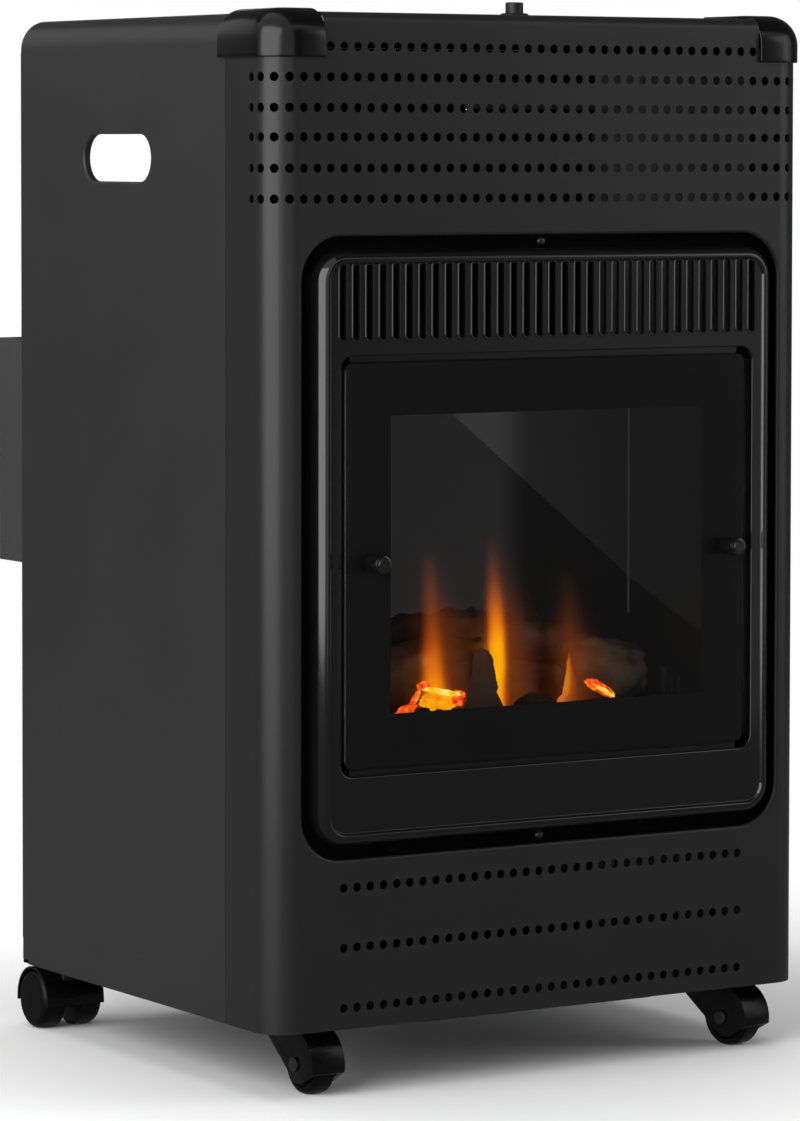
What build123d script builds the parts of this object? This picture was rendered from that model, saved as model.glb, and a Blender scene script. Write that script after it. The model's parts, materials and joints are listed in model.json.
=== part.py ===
"""Portable gas cabinet heater, built as an assembly of separate pieces.

Frame: millimetres, +X to the heater's right as seen from the front, +Y to the back, +Z up.
The origin lies on the floor under the middle of the heater's outer box.
"""
from build123d import *
from math import cos, pi, radians, sin
import os

os.makedirs("parts", exist_ok=True)

# ---------------------------------------------------------------- casing
cabinet_width = 418.0          # over both side panels
cabinet_depth = 342.0          # front face to rear edge
ground_clearance = 44.0        # floor to the casing's lower edge
casing_height = 652.0          # lower edge to the top
sheet = 1.2                    # thickness of the casing's steel
corner_radius = 21.5           # outer bend of the front shell's two corners
roll_radius = 20.0             # rolled top edge of the side panels
front_roll_radius = 7.0        # rolled top edge of the front shell
side_seam = 58.5               # front face to the joint between shell and side panel
seam_gap = 0.3
lap_width = 10.0               # strip of the side panel tucked behind the front shell
flange_width = 14.0            # folded edges of the casing

# ---------------------------------------------------------------- vents in the front shell
vent_pitch = 10.0
vent_radius = 3.0
vent_sides = 6                 # each vent is drawn as a polygon, to keep its facets few
long_row_vents = 46
short_row_vents = 34
low_row_vents = 32
long_row_heights = (577.0, 596.5, 616.3, 635.0, 654.5)
short_row_height = 674.0
low_row_heights = (57.7, 96.5, 135.3)

# ---------------------------------------------------------------- fire opening and pressed insert
opening_width = 372.0
opening_bottom = 153.5
opening_top = 553.0
opening_corner = 29.0
opening_return = 8.0           # depth of the folded edge of the opening
trench = 8.5                   # dark gap round the insert
insert_sheet = 1.5
insert_proud = 8.0             # crest of the insert's rim in front of the front face
rim_width = 11.0
rim_drop = 2.0                 # the flat field lies this far behind the rim's crest
rim_round = 8.0
insert_flange = 12.0
slot_count = 33
slot_pitch = 10.0
slot_width = 4.5
slot_length = 49.0
slot_middle = 511.5            # height of the middle of the slots
slot_lip = 1.3                 # width of the raised lip round each slot
slot_lip_height = 0.9

# ---------------------------------------------------------------- glass
glass_width = 314.0
glass_bottom = 211.0
glass_top = 473.0
glass_thickness = 4.0
glass_corner = 5.0
glass_gap = 4.0                # dark gap round the glass
glass_proud = 0.8              # glass in front of the insert's field
seal_thickness = 2.0
seal_width = 9.0
window_border = 35.0           # printed border of the glass
stud_diameter = 12.0
stud_length = 16.5
stud_shank = 5.0
stud_spacing = 278.0
stud_height = 344.0

# ---------------------------------------------------------------- fire box
firebox_width = 256.0          # between the side walls
firebox_bottom = 215.0
firebox_top = 465.0
firebox_depth = 95.0           # front face to the back wall
firebox_sheet = 1.5
tray_depth = 22.0
tray_margin = 3.0
burner_diameter = 18.0
burner_length = 196.0
burner_port_radius = 1.6
burner_ports = 12
mixing_diameter = 22.0
mixing_length = 46.0
mixing_side = 84.0             # mixing tube's distance to the right of the middle

# ---------------------------------------------------------------- partition, guard
partition_depth = 112.0        # front face to the front of the heat shield
partition_top = 674.0
shield_fold = 10.0             # folded edges of the heat shield
guard_reach = 40.0             # guard behind the casing's rear edge
guard_bottom = 322.0
guard_height = 155.0
guard_inset = 4.0              # guard's side inside the casing's side
guard_lift = 12.0
hook_height = 8.0
hook_thickness = 2.4
hook_drop = 6.0
hook_levels = (346.0, 438.0)

# ---------------------------------------------------------------- grip holes
grip_length = 92.0
grip_height = 31.5
grip_front = 157.5             # front face to the near end of the hole
grip_middle = 602.5
grip_collar = 5.0

# ---------------------------------------------------------------- moulded corner caps
cap_front = 39.0               # cap's length along the front, from the casing's side
cap_side = 64.8                # cap's length along the side, from the front face
cap_height = 29.0
cap_wall = 2.8
cap_top_wall = 2.5
cap_round = 20.0               # rounded top edges of the cap

# ---------------------------------------------------------------- controls
well_diameter = 78.0
well_depth = 24.0
well_wall = 1.5
well_rim = 5.0
well_back = 165.0              # front face to the middle of the well
knob_diameter = 48.0
knob_height = 22.0
knob_gap = 4.0                 # knob above the floor of the well
knob_ribs = 18
knob_press = 3.0
spindle_diameter = 6.0
running_clearance = 0.05
button_side = 72.0
button_back = 150.0
button_diameter = 12.3
button_proud = 13.0
button_travel = 6.0
bezel_diameter = 20.6
bezel_height = 5.5
igniter_diameter = 17.0
igniter_length = 44.0

# ---------------------------------------------------------------- gas valve
valve_width = 46.0
valve_depth = 36.0
valve_height = 34.0
valve_drop = 16.0              # valve's top under the floor of the well
nozzle_length = 34.0
nozzle_bore = 3.0
nozzle_radius = 4.6
pipe_diameter = 8.0
lead_diameter = 3.0

# ---------------------------------------------------------------- casters
front_stem_side = 164.2        # stem's distance from the middle
front_stem_back = 56.0
rear_stem_side = 185.0
rear_stem_back = 316.0
front_wheel_radius = 19.5
front_wheel_width = 15.5
front_trail = 30.0
front_fork_width = 24.5
front_hood_radius = 22.4
rear_wheel_radius = 20.0
rear_wheel_width = 16.5
rear_trail = 14.0
rear_web = 12.0
rear_hood_radius = 22.6
rear_hood_width = 44.0
wheel_gap = 1.0                # wheel to fork, all round
side_play = 0.5
axle_diameter = 5.0
rivet_diameter = 9.6
rivet_height = 1.4
stem_diameter = 8.0
socket_wall = 3.0
socket_height = 26.0
collar_height = 1.8
collar_gap = 0.25
right_swivel = 13.0            # the right front caster stands turned by this angle
dish_width = 210.0
dish_drop = 2.5

# ---------------------------------------------------------------- worked out from the above
casing_top = ground_clearance + casing_height
half_width = cabinet_width / 2
stud_tip = insert_proud - rim_drop + glass_proud + stud_length
front_face = stud_tip - (stud_tip + cabinet_depth + guard_reach) / 2
rear_edge = front_face + cabinet_depth
inner_half = half_width - sheet


def behind(distance):
    """Y of a point that lies this far behind the front face."""
    return front_face + distance


def front_plane(distance=0.0):
    """Sketch plane parallel to the front face: x to the right, y up, facing the viewer."""
    return Plane(origin=(0, behind(distance), 0), x_dir=(1, 0, 0), z_dir=(0, -1, 0))


def side_plane(x):
    """Sketch plane across the heater: local x runs back, local y up."""
    return Plane(origin=(x, 0, 0), x_dir=(0, 1, 0), z_dir=(1, 0, 0))


def finish(name, built):
    """Label a piece and write it out under its own name."""
    built.part.label = name
    export_step(built.part, f"parts/{name}.step")


def plate_ring(plane, outer, outer_corner, inner, inner_corner, depth, middle):
    """Rounded frame between two rounded rectangles, added to the part in hand."""
    with BuildSketch(plane) as frame:
        with Locations(middle):
            RectangleRounded(*outer, outer_corner)
            RectangleRounded(*inner, inner_corner, mode=Mode.SUBTRACT)
    extrude(frame.sketch, amount=depth)


# ================================================================ front shell
shell_top = casing_top - roll_radius
cap_joint = half_width - cap_front - seam_gap
opening_height = opening_top - opening_bottom
opening_middle = (opening_top + opening_bottom) / 2
flat_half = half_width - corner_radius
bend_length = corner_radius * pi / 2
top_flange = 2 * front_roll_radius


def vent_plane(run, height):
    """Plane on the shell's surface at a distance along its bent width from the middle."""
    side = 1 if run > 0 else -1
    past_flat = abs(run) - flat_half
    if past_flat <= 0:
        place, facing = (run, front_face), (0, -1)
    elif past_flat <= bend_length:
        turn = past_flat / corner_radius
        place = (side * (flat_half + corner_radius * sin(turn)), behind(corner_radius * (1 - cos(turn))))
        facing = (side * sin(turn), -cos(turn))
    else:
        place = (side * half_width, behind(corner_radius + past_flat - bend_length))
        facing = (side, 0)
    return Plane(origin=(*place, height), x_dir=(-facing[1], facing[0], 0), z_dir=(*facing, 0))


def vent_runs(count):
    """Distances of one row's vents from the middle, along the shell's bent width."""
    return [(index - (count - 1) / 2) * vent_pitch for index in range(count)]


vent_rows = [(short_row_vents, short_row_height)]
vent_rows += [(long_row_vents, height) for height in long_row_heights]
vent_rows += [(low_row_vents, height) for height in low_row_heights]
vent_places = [(run, height) for count, height in vent_rows for run in vent_runs(count)]
flat_vents = [(run, height) for run, height in vent_places if abs(run) < flat_half]
bend_vents = [vent_plane(*place) for place in vent_places if abs(place[0]) > flat_half - vent_radius]
roll_start = casing_top - front_roll_radius

with BuildPart() as front_shell:
    # the two bent corners, with the vents that run round them
    with BuildSketch(Plane.XY.offset(ground_clearance)) as wrap_outside:
        with Locations((0, behind(side_seam / 2))):
            Rectangle(cabinet_width, side_seam)
        fillet(wrap_outside.vertices().group_by(Axis.Y)[0], corner_radius)
    extrude(amount=shell_top - ground_clearance)
    with BuildSketch(Plane.XY.offset(ground_clearance)) as wrap_inside:
        with Locations((0, behind(sheet + side_seam / 2))):
            Rectangle(2 * inner_half, side_seam)
        fillet(wrap_inside.vertices().group_by(Axis.Y)[0], corner_radius - sheet)
    extrude(amount=shell_top - ground_clearance, mode=Mode.SUBTRACT)
    with BuildSketch(front_plane(side_seam)):
        with Locations((0, (shell_top + ground_clearance) / 2)):
            Rectangle(2 * flat_half, shell_top - ground_clearance)
    extrude(amount=side_seam, mode=Mode.SUBTRACT)
    with BuildSketch(*bend_vents):
        RegularPolygon(vent_radius, vent_sides)
    extrude(amount=1.5 * sheet, both=True, mode=Mode.SUBTRACT)
    # flat front with its vents and the fire opening
    with BuildSketch(front_plane(sheet)):
        with Locations((0, (shell_top + ground_clearance) / 2)):
            Rectangle(2 * flat_half, shell_top - ground_clearance)
        with Locations((0, (roll_start + shell_top) / 2)):
            Rectangle(2 * cap_joint, roll_start - shell_top)
        with Locations((0, opening_middle)):
            RectangleRounded(opening_width, opening_height, opening_corner, mode=Mode.SUBTRACT)
        with Locations(*flat_vents):
            RegularPolygon(vent_radius, vent_sides, mode=Mode.SUBTRACT)
    extrude(amount=sheet)
    # the middle of the top edge rolls back over the top panel's lip
    with BuildSketch(side_plane(-cap_joint)):
        with BuildLine():
            roll_middle = (behind(front_roll_radius), roll_start)
            outer_roll = CenterArc(roll_middle, front_roll_radius, 90, 90)
            inner_roll = CenterArc(roll_middle, front_roll_radius - sheet, 90, 90)
            Line(outer_roll @ 1, inner_roll @ 1)
            Polyline(
                outer_roll @ 0, (behind(top_flange), casing_top),
                (behind(top_flange), casing_top - sheet), inner_roll @ 0,
            )
        make_face()
    extrude(amount=2 * cap_joint)
    # edge of the opening folded back
    plate_ring(
        front_plane(opening_return),
        (opening_width + 2 * sheet, opening_height + 2 * sheet), opening_corner + sheet,
        (opening_width, opening_height), opening_corner, opening_return,
        middle=(0, opening_middle),
    )
finish("front_shell", front_shell)

# ================================================================ side panels
roll_flat = 6.0                # flat stretch after the rolled top edge
side_start = side_seam + seam_gap
side_length = cabinet_depth - side_start
pan_flange = 16.0              # upturned edge of the base pan
rear_flange = 20.0
notch_length = 10.0            # step in the side panel's lower rear corner
notch_height = 3.0
flange_start = ground_clearance + pan_flange + 2.0
hook_side = half_width - guard_inset - flange_width / 2
slot_rise = guard_lift + 2 * side_play


def side_panel(side):
    """One side panel: rolled top edge, folded rear edge, strip under the front shell, grip hole."""
    outer_width = roll_radius + roll_flat
    with BuildPart() as panel:
        with BuildSketch(front_plane(side_start)) as skin:
            with Locations((side * (half_width - outer_width / 2), ground_clearance + casing_height / 2)):
                Rectangle(outer_width, casing_height)
            outer_corner = skin.vertices().sort_by(Axis.Y)[-2:].sort_by(Axis.X)
            fillet(outer_corner[-1 if side > 0 else 0], roll_radius)
        extrude(amount=-side_length)
        with BuildSketch(front_plane(side_start)) as hollow:
            middle = side * (inner_half - outer_width / 2)
            with Locations((middle, ground_clearance + casing_height / 2 - sheet)):
                Rectangle(outer_width, casing_height)
            inner_corner = hollow.vertices().sort_by(Axis.Y)[-2:].sort_by(Axis.X)
            fillet(inner_corner[-1 if side > 0 else 0], roll_radius - sheet)
        extrude(amount=-side_length, mode=Mode.SUBTRACT)
        # folded rear edge, with slots for the guard's hooks
        with BuildSketch(front_plane(cabinet_depth)):
            with Locations((side * (half_width - rear_flange / 2), (flange_start + shell_top) / 2)):
                Rectangle(rear_flange, shell_top - flange_start)
        extrude(amount=sheet)
        with BuildSketch(front_plane(cabinet_depth)):
            for level in hook_levels:
                with Locations((side * hook_side, level + (hook_height + slot_rise) / 2)):
                    Rectangle(hook_thickness + 2 * side_play, hook_height + slot_rise)
        extrude(amount=sheet, mode=Mode.SUBTRACT)
        # strip tucked behind the front shell
        with BuildSketch(front_plane(side_start + lap_width)):
            with Locations((side * (inner_half - sheet / 2), (flange_start + shell_top - flange_width) / 2)):
                Rectangle(sheet, shell_top - flange_width - flange_start)
        extrude(amount=2 * lap_width)
        # grip hole with its drawn collar
        with BuildSketch(side_plane(side * half_width)):
            with Locations((behind(grip_front + grip_length / 2), grip_middle)):
                SlotOverall(grip_length + 2 * sheet, grip_height + 2 * sheet)
        extrude(amount=-side * grip_collar)
        with BuildSketch(side_plane(side * half_width)):
            with Locations((behind(grip_front + grip_length / 2), grip_middle)):
                SlotOverall(grip_length, grip_height)
        extrude(amount=-side * grip_collar, mode=Mode.SUBTRACT)
        # stepped lower rear corner
        with BuildSketch(side_plane(side * half_width)):
            with Locations((behind(cabinet_depth - notch_length / 2), ground_clearance + notch_height / 2)):
                Rectangle(notch_length, notch_height)
        extrude(amount=-side * sheet, mode=Mode.SUBTRACT)
    return panel


side_panel_left = side_panel(-1)
side_panel_right = side_panel(1)
finish("side_panel_left", side_panel_left)
finish("side_panel_right", side_panel_right)

# ================================================================ top panel
top_width = 2 * (half_width - roll_radius - roll_flat - seam_gap)
top_start = top_flange + seam_gap
top_length = cabinet_depth - top_start
lip = 5.0                      # joggled edge that runs under the neighbouring sheet
well_radius = well_diameter / 2
igniter_radius = igniter_diameter / 2

with BuildPart() as top_panel:
    with BuildSketch(Plane.XY.offset(casing_top - sheet)):
        with Locations((0, behind(top_start + top_length / 2))):
            Rectangle(top_width, top_length)
        with Locations((-top_width / 2, behind(0)), (top_width / 2, behind(0))):
            Rectangle(top_width - 2 * cap_joint, 2 * (cap_round + seam_gap), mode=Mode.SUBTRACT)
    extrude(amount=sheet)
    with BuildSketch(Plane.XY.offset(casing_top - 2 * sheet)):
        with Locations((0, behind(top_start + top_length / 2))):
            Rectangle(top_width + 2 * lip, top_length - 2 * cap_side)
        with Locations((0, behind(top_start))):
            Rectangle(2 * (cap_joint - lip), 2 * lip)
        with Locations((0, behind(top_start + top_length / 2))):
            Rectangle(top_width - 2 * lip, top_length - 2 * lip, mode=Mode.SUBTRACT)
    extrude(amount=sheet)
    with BuildSketch(front_plane(cabinet_depth)):
        with Locations((0, casing_top - flange_width / 2)):
            Rectangle(top_width - 2 * rear_flange, flange_width)
    extrude(amount=sheet)
    with BuildSketch(Plane.XY.offset(casing_top - 2 * sheet)):
        with Locations((0, behind(well_back))):
            Circle(well_radius + running_clearance)
        with Locations((button_side, behind(button_back))):
            Circle(igniter_radius + running_clearance)
    extrude(amount=2 * sheet, mode=Mode.SUBTRACT)
finish("top_panel", top_panel)

# ================================================================ base pan
stem_radius = stem_diameter / 2
socket_bore = stem_radius + running_clearance
socket_radius = socket_bore + socket_wall
pan_top = ground_clearance + sheet
pan_depth = cabinet_depth - sheet
dish_margin = 10.0
dish_corner = 18.0
stem_places = {
    "front_left": (-front_stem_side, behind(front_stem_back)),
    "front_right": (front_stem_side, behind(front_stem_back)),
    "rear_left": (-rear_stem_side, behind(rear_stem_back)),
    "rear_right": (rear_stem_side, behind(rear_stem_back)),
}

with BuildPart() as base_pan:
    with BuildSketch(Plane.XY.offset(ground_clearance)) as pan_outside:
        with Locations((0, behind(sheet + pan_depth / 2))):
            Rectangle(2 * inner_half, pan_depth)
        fillet(pan_outside.vertices().group_by(Axis.Y)[0], corner_radius - sheet)
    extrude(amount=pan_flange)
    with BuildSketch(Plane.XY.offset(pan_top)) as pan_inside:
        with Locations((0, behind(sheet + pan_depth / 2))):
            Rectangle(2 * (inner_half - sheet), pan_depth - 2 * sheet)
        fillet(pan_inside.vertices().group_by(Axis.Y)[0], corner_radius - 2 * sheet)
    extrude(amount=pan_flange, mode=Mode.SUBTRACT)
    # pressed dish that stiffens the shelf
    with BuildSketch(Plane.XY.offset(ground_clearance - dish_drop)):
        with Locations((0, behind(cabinet_depth / 2))):
            RectangleRounded(dish_width, cabinet_depth - 2 * dish_margin, dish_corner)
    extrude(amount=dish_drop)
    with BuildSketch(Plane.XY.offset(pan_top - dish_drop)):
        with Locations((0, behind(cabinet_depth / 2))):
            RectangleRounded(
                dish_width - 2 * sheet, cabinet_depth - 2 * (dish_margin + sheet), dish_corner - sheet
            )
    extrude(amount=dish_drop, mode=Mode.SUBTRACT)
    with BuildSketch(Plane.XY.offset(ground_clearance)):
        with Locations(*stem_places.values()):
            Circle(socket_radius)
    extrude(amount=sheet, mode=Mode.SUBTRACT)
finish("base_pan", base_pan)

socket_flange = 6.0
with BuildPart() as stem_sockets:
    with BuildSketch(Plane.XY.offset(ground_clearance)):
        with Locations(*stem_places.values()):
            Circle(socket_radius)
    extrude(amount=socket_height)
    with BuildSketch(Plane.XY.offset(pan_top)):
        with Locations(*stem_places.values()):
            Circle(socket_radius + socket_flange)
    extrude(amount=sheet)
    with BuildSketch(Plane.XY.offset(ground_clearance)):
        with Locations(*stem_places.values()):
            Circle(socket_bore)
    extrude(amount=socket_height, mode=Mode.SUBTRACT)
finish("stem_sockets", stem_sockets)

# ================================================================ openings of the heat shield
partition_slot_length = 46.0
partition_slot_width = 5.0
partition_slots = 5
partition_slot_pitch = 66.0
partition_slot_levels = (90.0, 110.0)
pipe_radius = pipe_diameter / 2
pipe_level = 100.0             # height at which the gas pipe passes the partition
pipe_hole_play = 1.0

# ================================================================ moulded corner caps
cap_vertical_radius = corner_radius + cap_wall
cap_bottom = casing_top - cap_height


def corner_cap(side):
    """Thin moulded cap over one upper front corner, open towards the casing."""
    with BuildPart() as cap:
        with BuildSketch(Plane.XY.offset(cap_bottom)) as outline:
            middle = half_width - (cap_front - cap_wall) / 2
            with Locations((side * middle, behind((cap_side - cap_wall) / 2))):
                Rectangle(cap_front + cap_wall, cap_side + cap_wall)
            front_corners = outline.vertices().group_by(Axis.Y)[0].sort_by(Axis.X)
            fillet(front_corners[-1 if side > 0 else 0], cap_vertical_radius)
        extrude(amount=cap_height + cap_top_wall)
        top_edges = cap.faces().sort_by(Axis.Z)[-1].edges()
        rounded = top_edges.filter_by(
            lambda edge: (
                abs(edge.center().X) > half_width - cap_front + 1 and edge.center().Y < behind(cap_side - 1)
            )
        )
        fillet(rounded, cap_round)
        with BuildSketch(Plane.XY.offset(cap_bottom)) as hollow:
            with Locations((side * (half_width - cap_front / 2), behind(cap_side / 2))):
                Rectangle(cap_front, cap_side)
            inner_corners = hollow.vertices().group_by(Axis.Y)[0].sort_by(Axis.X)
            fillet(inner_corners[-1 if side > 0 else 0], corner_radius)
        cavity = Solid.extrude(hollow.sketch.faces()[0], Vector(0, 0, cap_height))
        cavity_top = cavity.faces().sort_by(Axis.Z)[-1].edges().filter_by(
            lambda edge: (
                abs(edge.center().X) > half_width - cap_front + 1 and edge.center().Y < behind(cap_side - 1)
            )
        )
        add(cavity.fillet(cap_round - cap_wall, cavity_top), mode=Mode.SUBTRACT)
    return cap


corner_cap_left = corner_cap(-1)
corner_cap_right = corner_cap(1)
finish("corner_cap_left", corner_cap_left)
finish("corner_cap_right", corner_cap_right)

# ================================================================ bottle guard
guard_half = half_width - guard_inset

with BuildPart() as bottle_guard:
    with BuildSketch(Plane.XY.offset(guard_bottom)):
        with Locations((0, rear_edge + guard_reach / 2)):
            Rectangle(2 * guard_half, guard_reach)
        with Locations((0, rear_edge + (guard_reach - sheet) / 2)):
            Rectangle(2 * (guard_half - sheet), guard_reach - sheet, mode=Mode.SUBTRACT)
        for side in (-1, 1):
            with Locations((side * (guard_half - flange_width / 2), rear_edge + sheet / 2)):
                Rectangle(flange_width, sheet)
    extrude(amount=guard_height)
    # hooks that pass through the slots and drop behind the folded edges
    for side in (-1, 1):
        with BuildSketch(side_plane(side * hook_side)):
            for level in hook_levels:
                with Locations((rear_edge - (sheet + hook_thickness) / 2, level + hook_height / 2)):
                    Rectangle(sheet + hook_thickness, hook_height)
                hook_depth = rear_edge - sheet - seam_gap - hook_thickness / 2
                with Locations((hook_depth, level + (hook_height - hook_drop) / 2)):
                    Rectangle(hook_thickness, hook_height + hook_drop)
        extrude(amount=hook_thickness / 2, both=True)
finish("bottle_guard", bottle_guard)

# ================================================================ pressed insert round the fire
insert_width = opening_width - 2 * trench
insert_height = opening_height - 2 * trench
insert_corner = opening_corner - trench
flange_back = opening_return + insert_sheet
field_front = -(insert_proud - rim_drop)
field_back = field_front + insert_sheet
glass_height = glass_top - glass_bottom
glass_middle = (glass_top + glass_bottom) / 2
glass_front = field_front - glass_proud
ledge_front = glass_front + glass_thickness + seal_thickness
ledge_back = ledge_front + insert_sheet
recess_width = glass_width + 2 * glass_gap
recess_height = glass_height + 2 * glass_gap
recess_corner = glass_corner + glass_gap
window_width = glass_width - 2 * window_border
window_height = glass_height - 2 * window_border
window_ledge_play = 3.0
stud_radius = stud_diameter / 2
shank_radius = stud_shank / 2
slot_columns = [(index - (slot_count - 1) / 2) * slot_pitch for index in range(slot_count)]

with BuildPart() as insert_panel:
    with BuildSketch(front_plane(flange_back)):
        with Locations((0, opening_middle)):
            RectangleRounded(insert_width, insert_height, insert_corner)
    extrude(amount=flange_back + insert_proud)
    fillet(insert_panel.faces().sort_by(Axis.Y)[0].edges(), rim_round)
    with BuildSketch(front_plane(-insert_proud)):
        with Locations((0, opening_middle)):
            RectangleRounded(
                insert_width - 2 * rim_width, insert_height - 2 * rim_width, insert_corner - rim_width / 2
            )
    extrude(amount=-rim_drop, mode=Mode.SUBTRACT)
    with BuildSketch(front_plane(flange_back)):
        with Locations((0, opening_middle)):
            RectangleRounded(
                insert_width - 2 * insert_sheet,
                insert_height - 2 * insert_sheet,
                insert_corner - insert_sheet,
            )
    extrude(amount=flange_back - field_back, mode=Mode.SUBTRACT)
    plate_ring(
        front_plane(flange_back),
        (insert_width + 2 * insert_flange, insert_height + 2 * insert_flange), insert_corner + insert_flange,
        (insert_width - insert_sheet, insert_height - insert_sheet), insert_corner - insert_sheet / 2,
        insert_sheet, middle=(0, opening_middle),
    )
    # recess that holds the glass, with the ledge behind it
    with BuildSketch(front_plane(ledge_back)):
        with Locations((0, glass_middle)):
            RectangleRounded(
                recess_width + 2 * insert_sheet,
                recess_height + 2 * insert_sheet,
                recess_corner + insert_sheet,
            )
    extrude(amount=ledge_back - field_back)
    with BuildSketch(front_plane(ledge_front)):
        with Locations((0, glass_middle)):
            RectangleRounded(recess_width, recess_height, recess_corner)
    extrude(amount=ledge_front + insert_proud, mode=Mode.SUBTRACT)
    with BuildSketch(front_plane(ledge_back)):
        with Locations((0, glass_middle)):
            RectangleRounded(
                window_width + 2 * window_ledge_play, window_height + 2 * window_ledge_play, window_ledge_play
            )
        with Locations((-stud_spacing / 2, stud_height), (stud_spacing / 2, stud_height)):
            Circle(shank_radius + running_clearance)
    extrude(amount=insert_sheet, mode=Mode.SUBTRACT)
    # air slots with raised lips
    with BuildSketch(front_plane(field_front)):
        with Locations(*[(column, slot_middle) for column in slot_columns]):
            SlotOverall(slot_length + 2 * slot_lip, slot_width + 2 * slot_lip, rotation=90)
    extrude(amount=slot_lip_height)
    with BuildSketch(front_plane(field_back)):
        with Locations(*[(column, slot_middle) for column in slot_columns]):
            SlotOverall(slot_length, slot_width, rotation=90)
    extrude(amount=insert_sheet + slot_lip_height, mode=Mode.SUBTRACT)
finish("insert_panel", insert_panel)

# ================================================================ glass, its seal and its studs
with BuildPart() as glass_panel:
    with BuildSketch(front_plane(glass_front + glass_thickness)):
        with Locations((0, glass_middle)):
            RectangleRounded(glass_width, glass_height, glass_corner)
        with Locations((-stud_spacing / 2, stud_height), (stud_spacing / 2, stud_height)):
            Circle(shank_radius + running_clearance, mode=Mode.SUBTRACT)
    extrude(amount=glass_thickness)
finish("glass_panel", glass_panel)

seal_inset = 2.0
with BuildPart() as glass_seal:
    plate_ring(
        front_plane(ledge_front),
        (glass_width - 2 * seal_inset, glass_height - 2 * seal_inset), glass_corner,
        (glass_width - 2 * (seal_inset + seal_width), glass_height - 2 * (seal_inset + seal_width)),
        glass_corner / 2,
        seal_thickness, middle=(0, glass_middle),
    )
finish("glass_seal", glass_seal)

nut_height = 4.0
nut_width = 9.0
stud_chamfer = 1.2
with BuildPart() as glass_studs:
    for side in (-1, 1):
        with BuildSketch(front_plane(glass_front)):
            with Locations((side * stud_spacing / 2, stud_height)):
                Circle(stud_radius)
        extrude(amount=stud_length)
        with BuildSketch(front_plane(ledge_back + nut_height)):
            with Locations((side * stud_spacing / 2, stud_height)):
                Circle(shank_radius)
        extrude(amount=ledge_back + nut_height - glass_front)
        with BuildSketch(front_plane(ledge_back + nut_height)):
            with Locations((side * stud_spacing / 2, stud_height)):
                RegularPolygon(nut_width / 2, 6)
        extrude(amount=nut_height)
    chamfer(glass_studs.faces().filter_by(Axis.Y).group_by(Axis.Y)[0].edges(), stud_chamfer)
finish("glass_studs", glass_studs)

screw_head_radius = 3.4
screw_head_height = 2.2
with BuildPart() as insert_screws:
    with BuildSketch(front_plane(opening_return)):
        with Locations((0, opening_bottom + trench / 2), (0, opening_top - trench / 2)):
            Circle(screw_head_radius)
    extrude(amount=screw_head_height)
    fillet(insert_screws.faces().group_by(Axis.Y)[0].edges(), screw_head_height / 2)
finish("insert_screws", insert_screws)

# ================================================================ fire box
firebox_height = firebox_top - firebox_bottom
firebox_middle = (firebox_top + firebox_bottom) / 2
mixing_radius = mixing_diameter / 2
flue_slots = 9
flue_slot_pitch = 26.0
flue_slot_width = 8.0
flue_slot_length = 50.0
box_run = firebox_depth - ledge_back
box_middle = behind(ledge_back + box_run / 2)
burner_back = behind(firebox_depth / 2)
pilot_back = behind(18.0)      # row of pilot, thermocouple and electrode, near the glass
pilot_side = 107.0
thermocouple_side = 113.0
electrode_side = 119.0
pilot_slot_length = 20.0
pilot_slot_width = 6.0

with BuildPart() as firebox_floor:
    with BuildSketch(Plane.XY.offset(firebox_bottom - firebox_sheet)):
        with Locations((0, box_middle)):
            Rectangle(firebox_width, box_run)
        with Locations((mixing_side, burner_back)):
            Circle(mixing_radius, mode=Mode.SUBTRACT)
        with Locations((thermocouple_side, pilot_back)):
            SlotOverall(pilot_slot_length, pilot_slot_width, mode=Mode.SUBTRACT)
    extrude(amount=firebox_sheet)
finish("firebox_floor", firebox_floor)

with BuildPart() as firebox_roof:
    with BuildSketch(Plane.XY.offset(firebox_top)):
        with Locations((0, box_middle)):
            Rectangle(firebox_width, box_run)
            with GridLocations(flue_slot_pitch, 1, flue_slots, 1):
                SlotOverall(flue_slot_length, flue_slot_width, rotation=90, mode=Mode.SUBTRACT)
    extrude(amount=firebox_sheet)
finish("firebox_roof", firebox_roof)

for side_name, side in (("left", -1), ("right", 1)):
    with BuildPart() as firebox_side:
        with BuildSketch(side_plane(side * firebox_width / 2)):
            with Locations((behind(ledge_back + box_run / 2), firebox_middle)):
                Rectangle(box_run, firebox_height + 2 * firebox_sheet)
        extrude(amount=side * firebox_sheet)
    finish(f"firebox_side_{side_name}", firebox_side)

with BuildPart() as firebox_back:
    with BuildSketch(front_plane(firebox_depth + firebox_sheet)):
        with Locations((0, firebox_middle)):
            Rectangle(firebox_width + 2 * firebox_sheet, firebox_height + 2 * firebox_sheet)
    extrude(amount=firebox_sheet)
finish("firebox_back", firebox_back)

# ================================================================ burner
burner_radius = burner_diameter / 2
tray_width = firebox_width - 2 * tray_margin
tray_run = firebox_depth - 2 * tray_margin - ledge_back
tray_middle = behind(ledge_back + tray_margin + tray_run / 2)
tray_floor = firebox_bottom + firebox_sheet
burner_height = tray_floor + burner_radius

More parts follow.
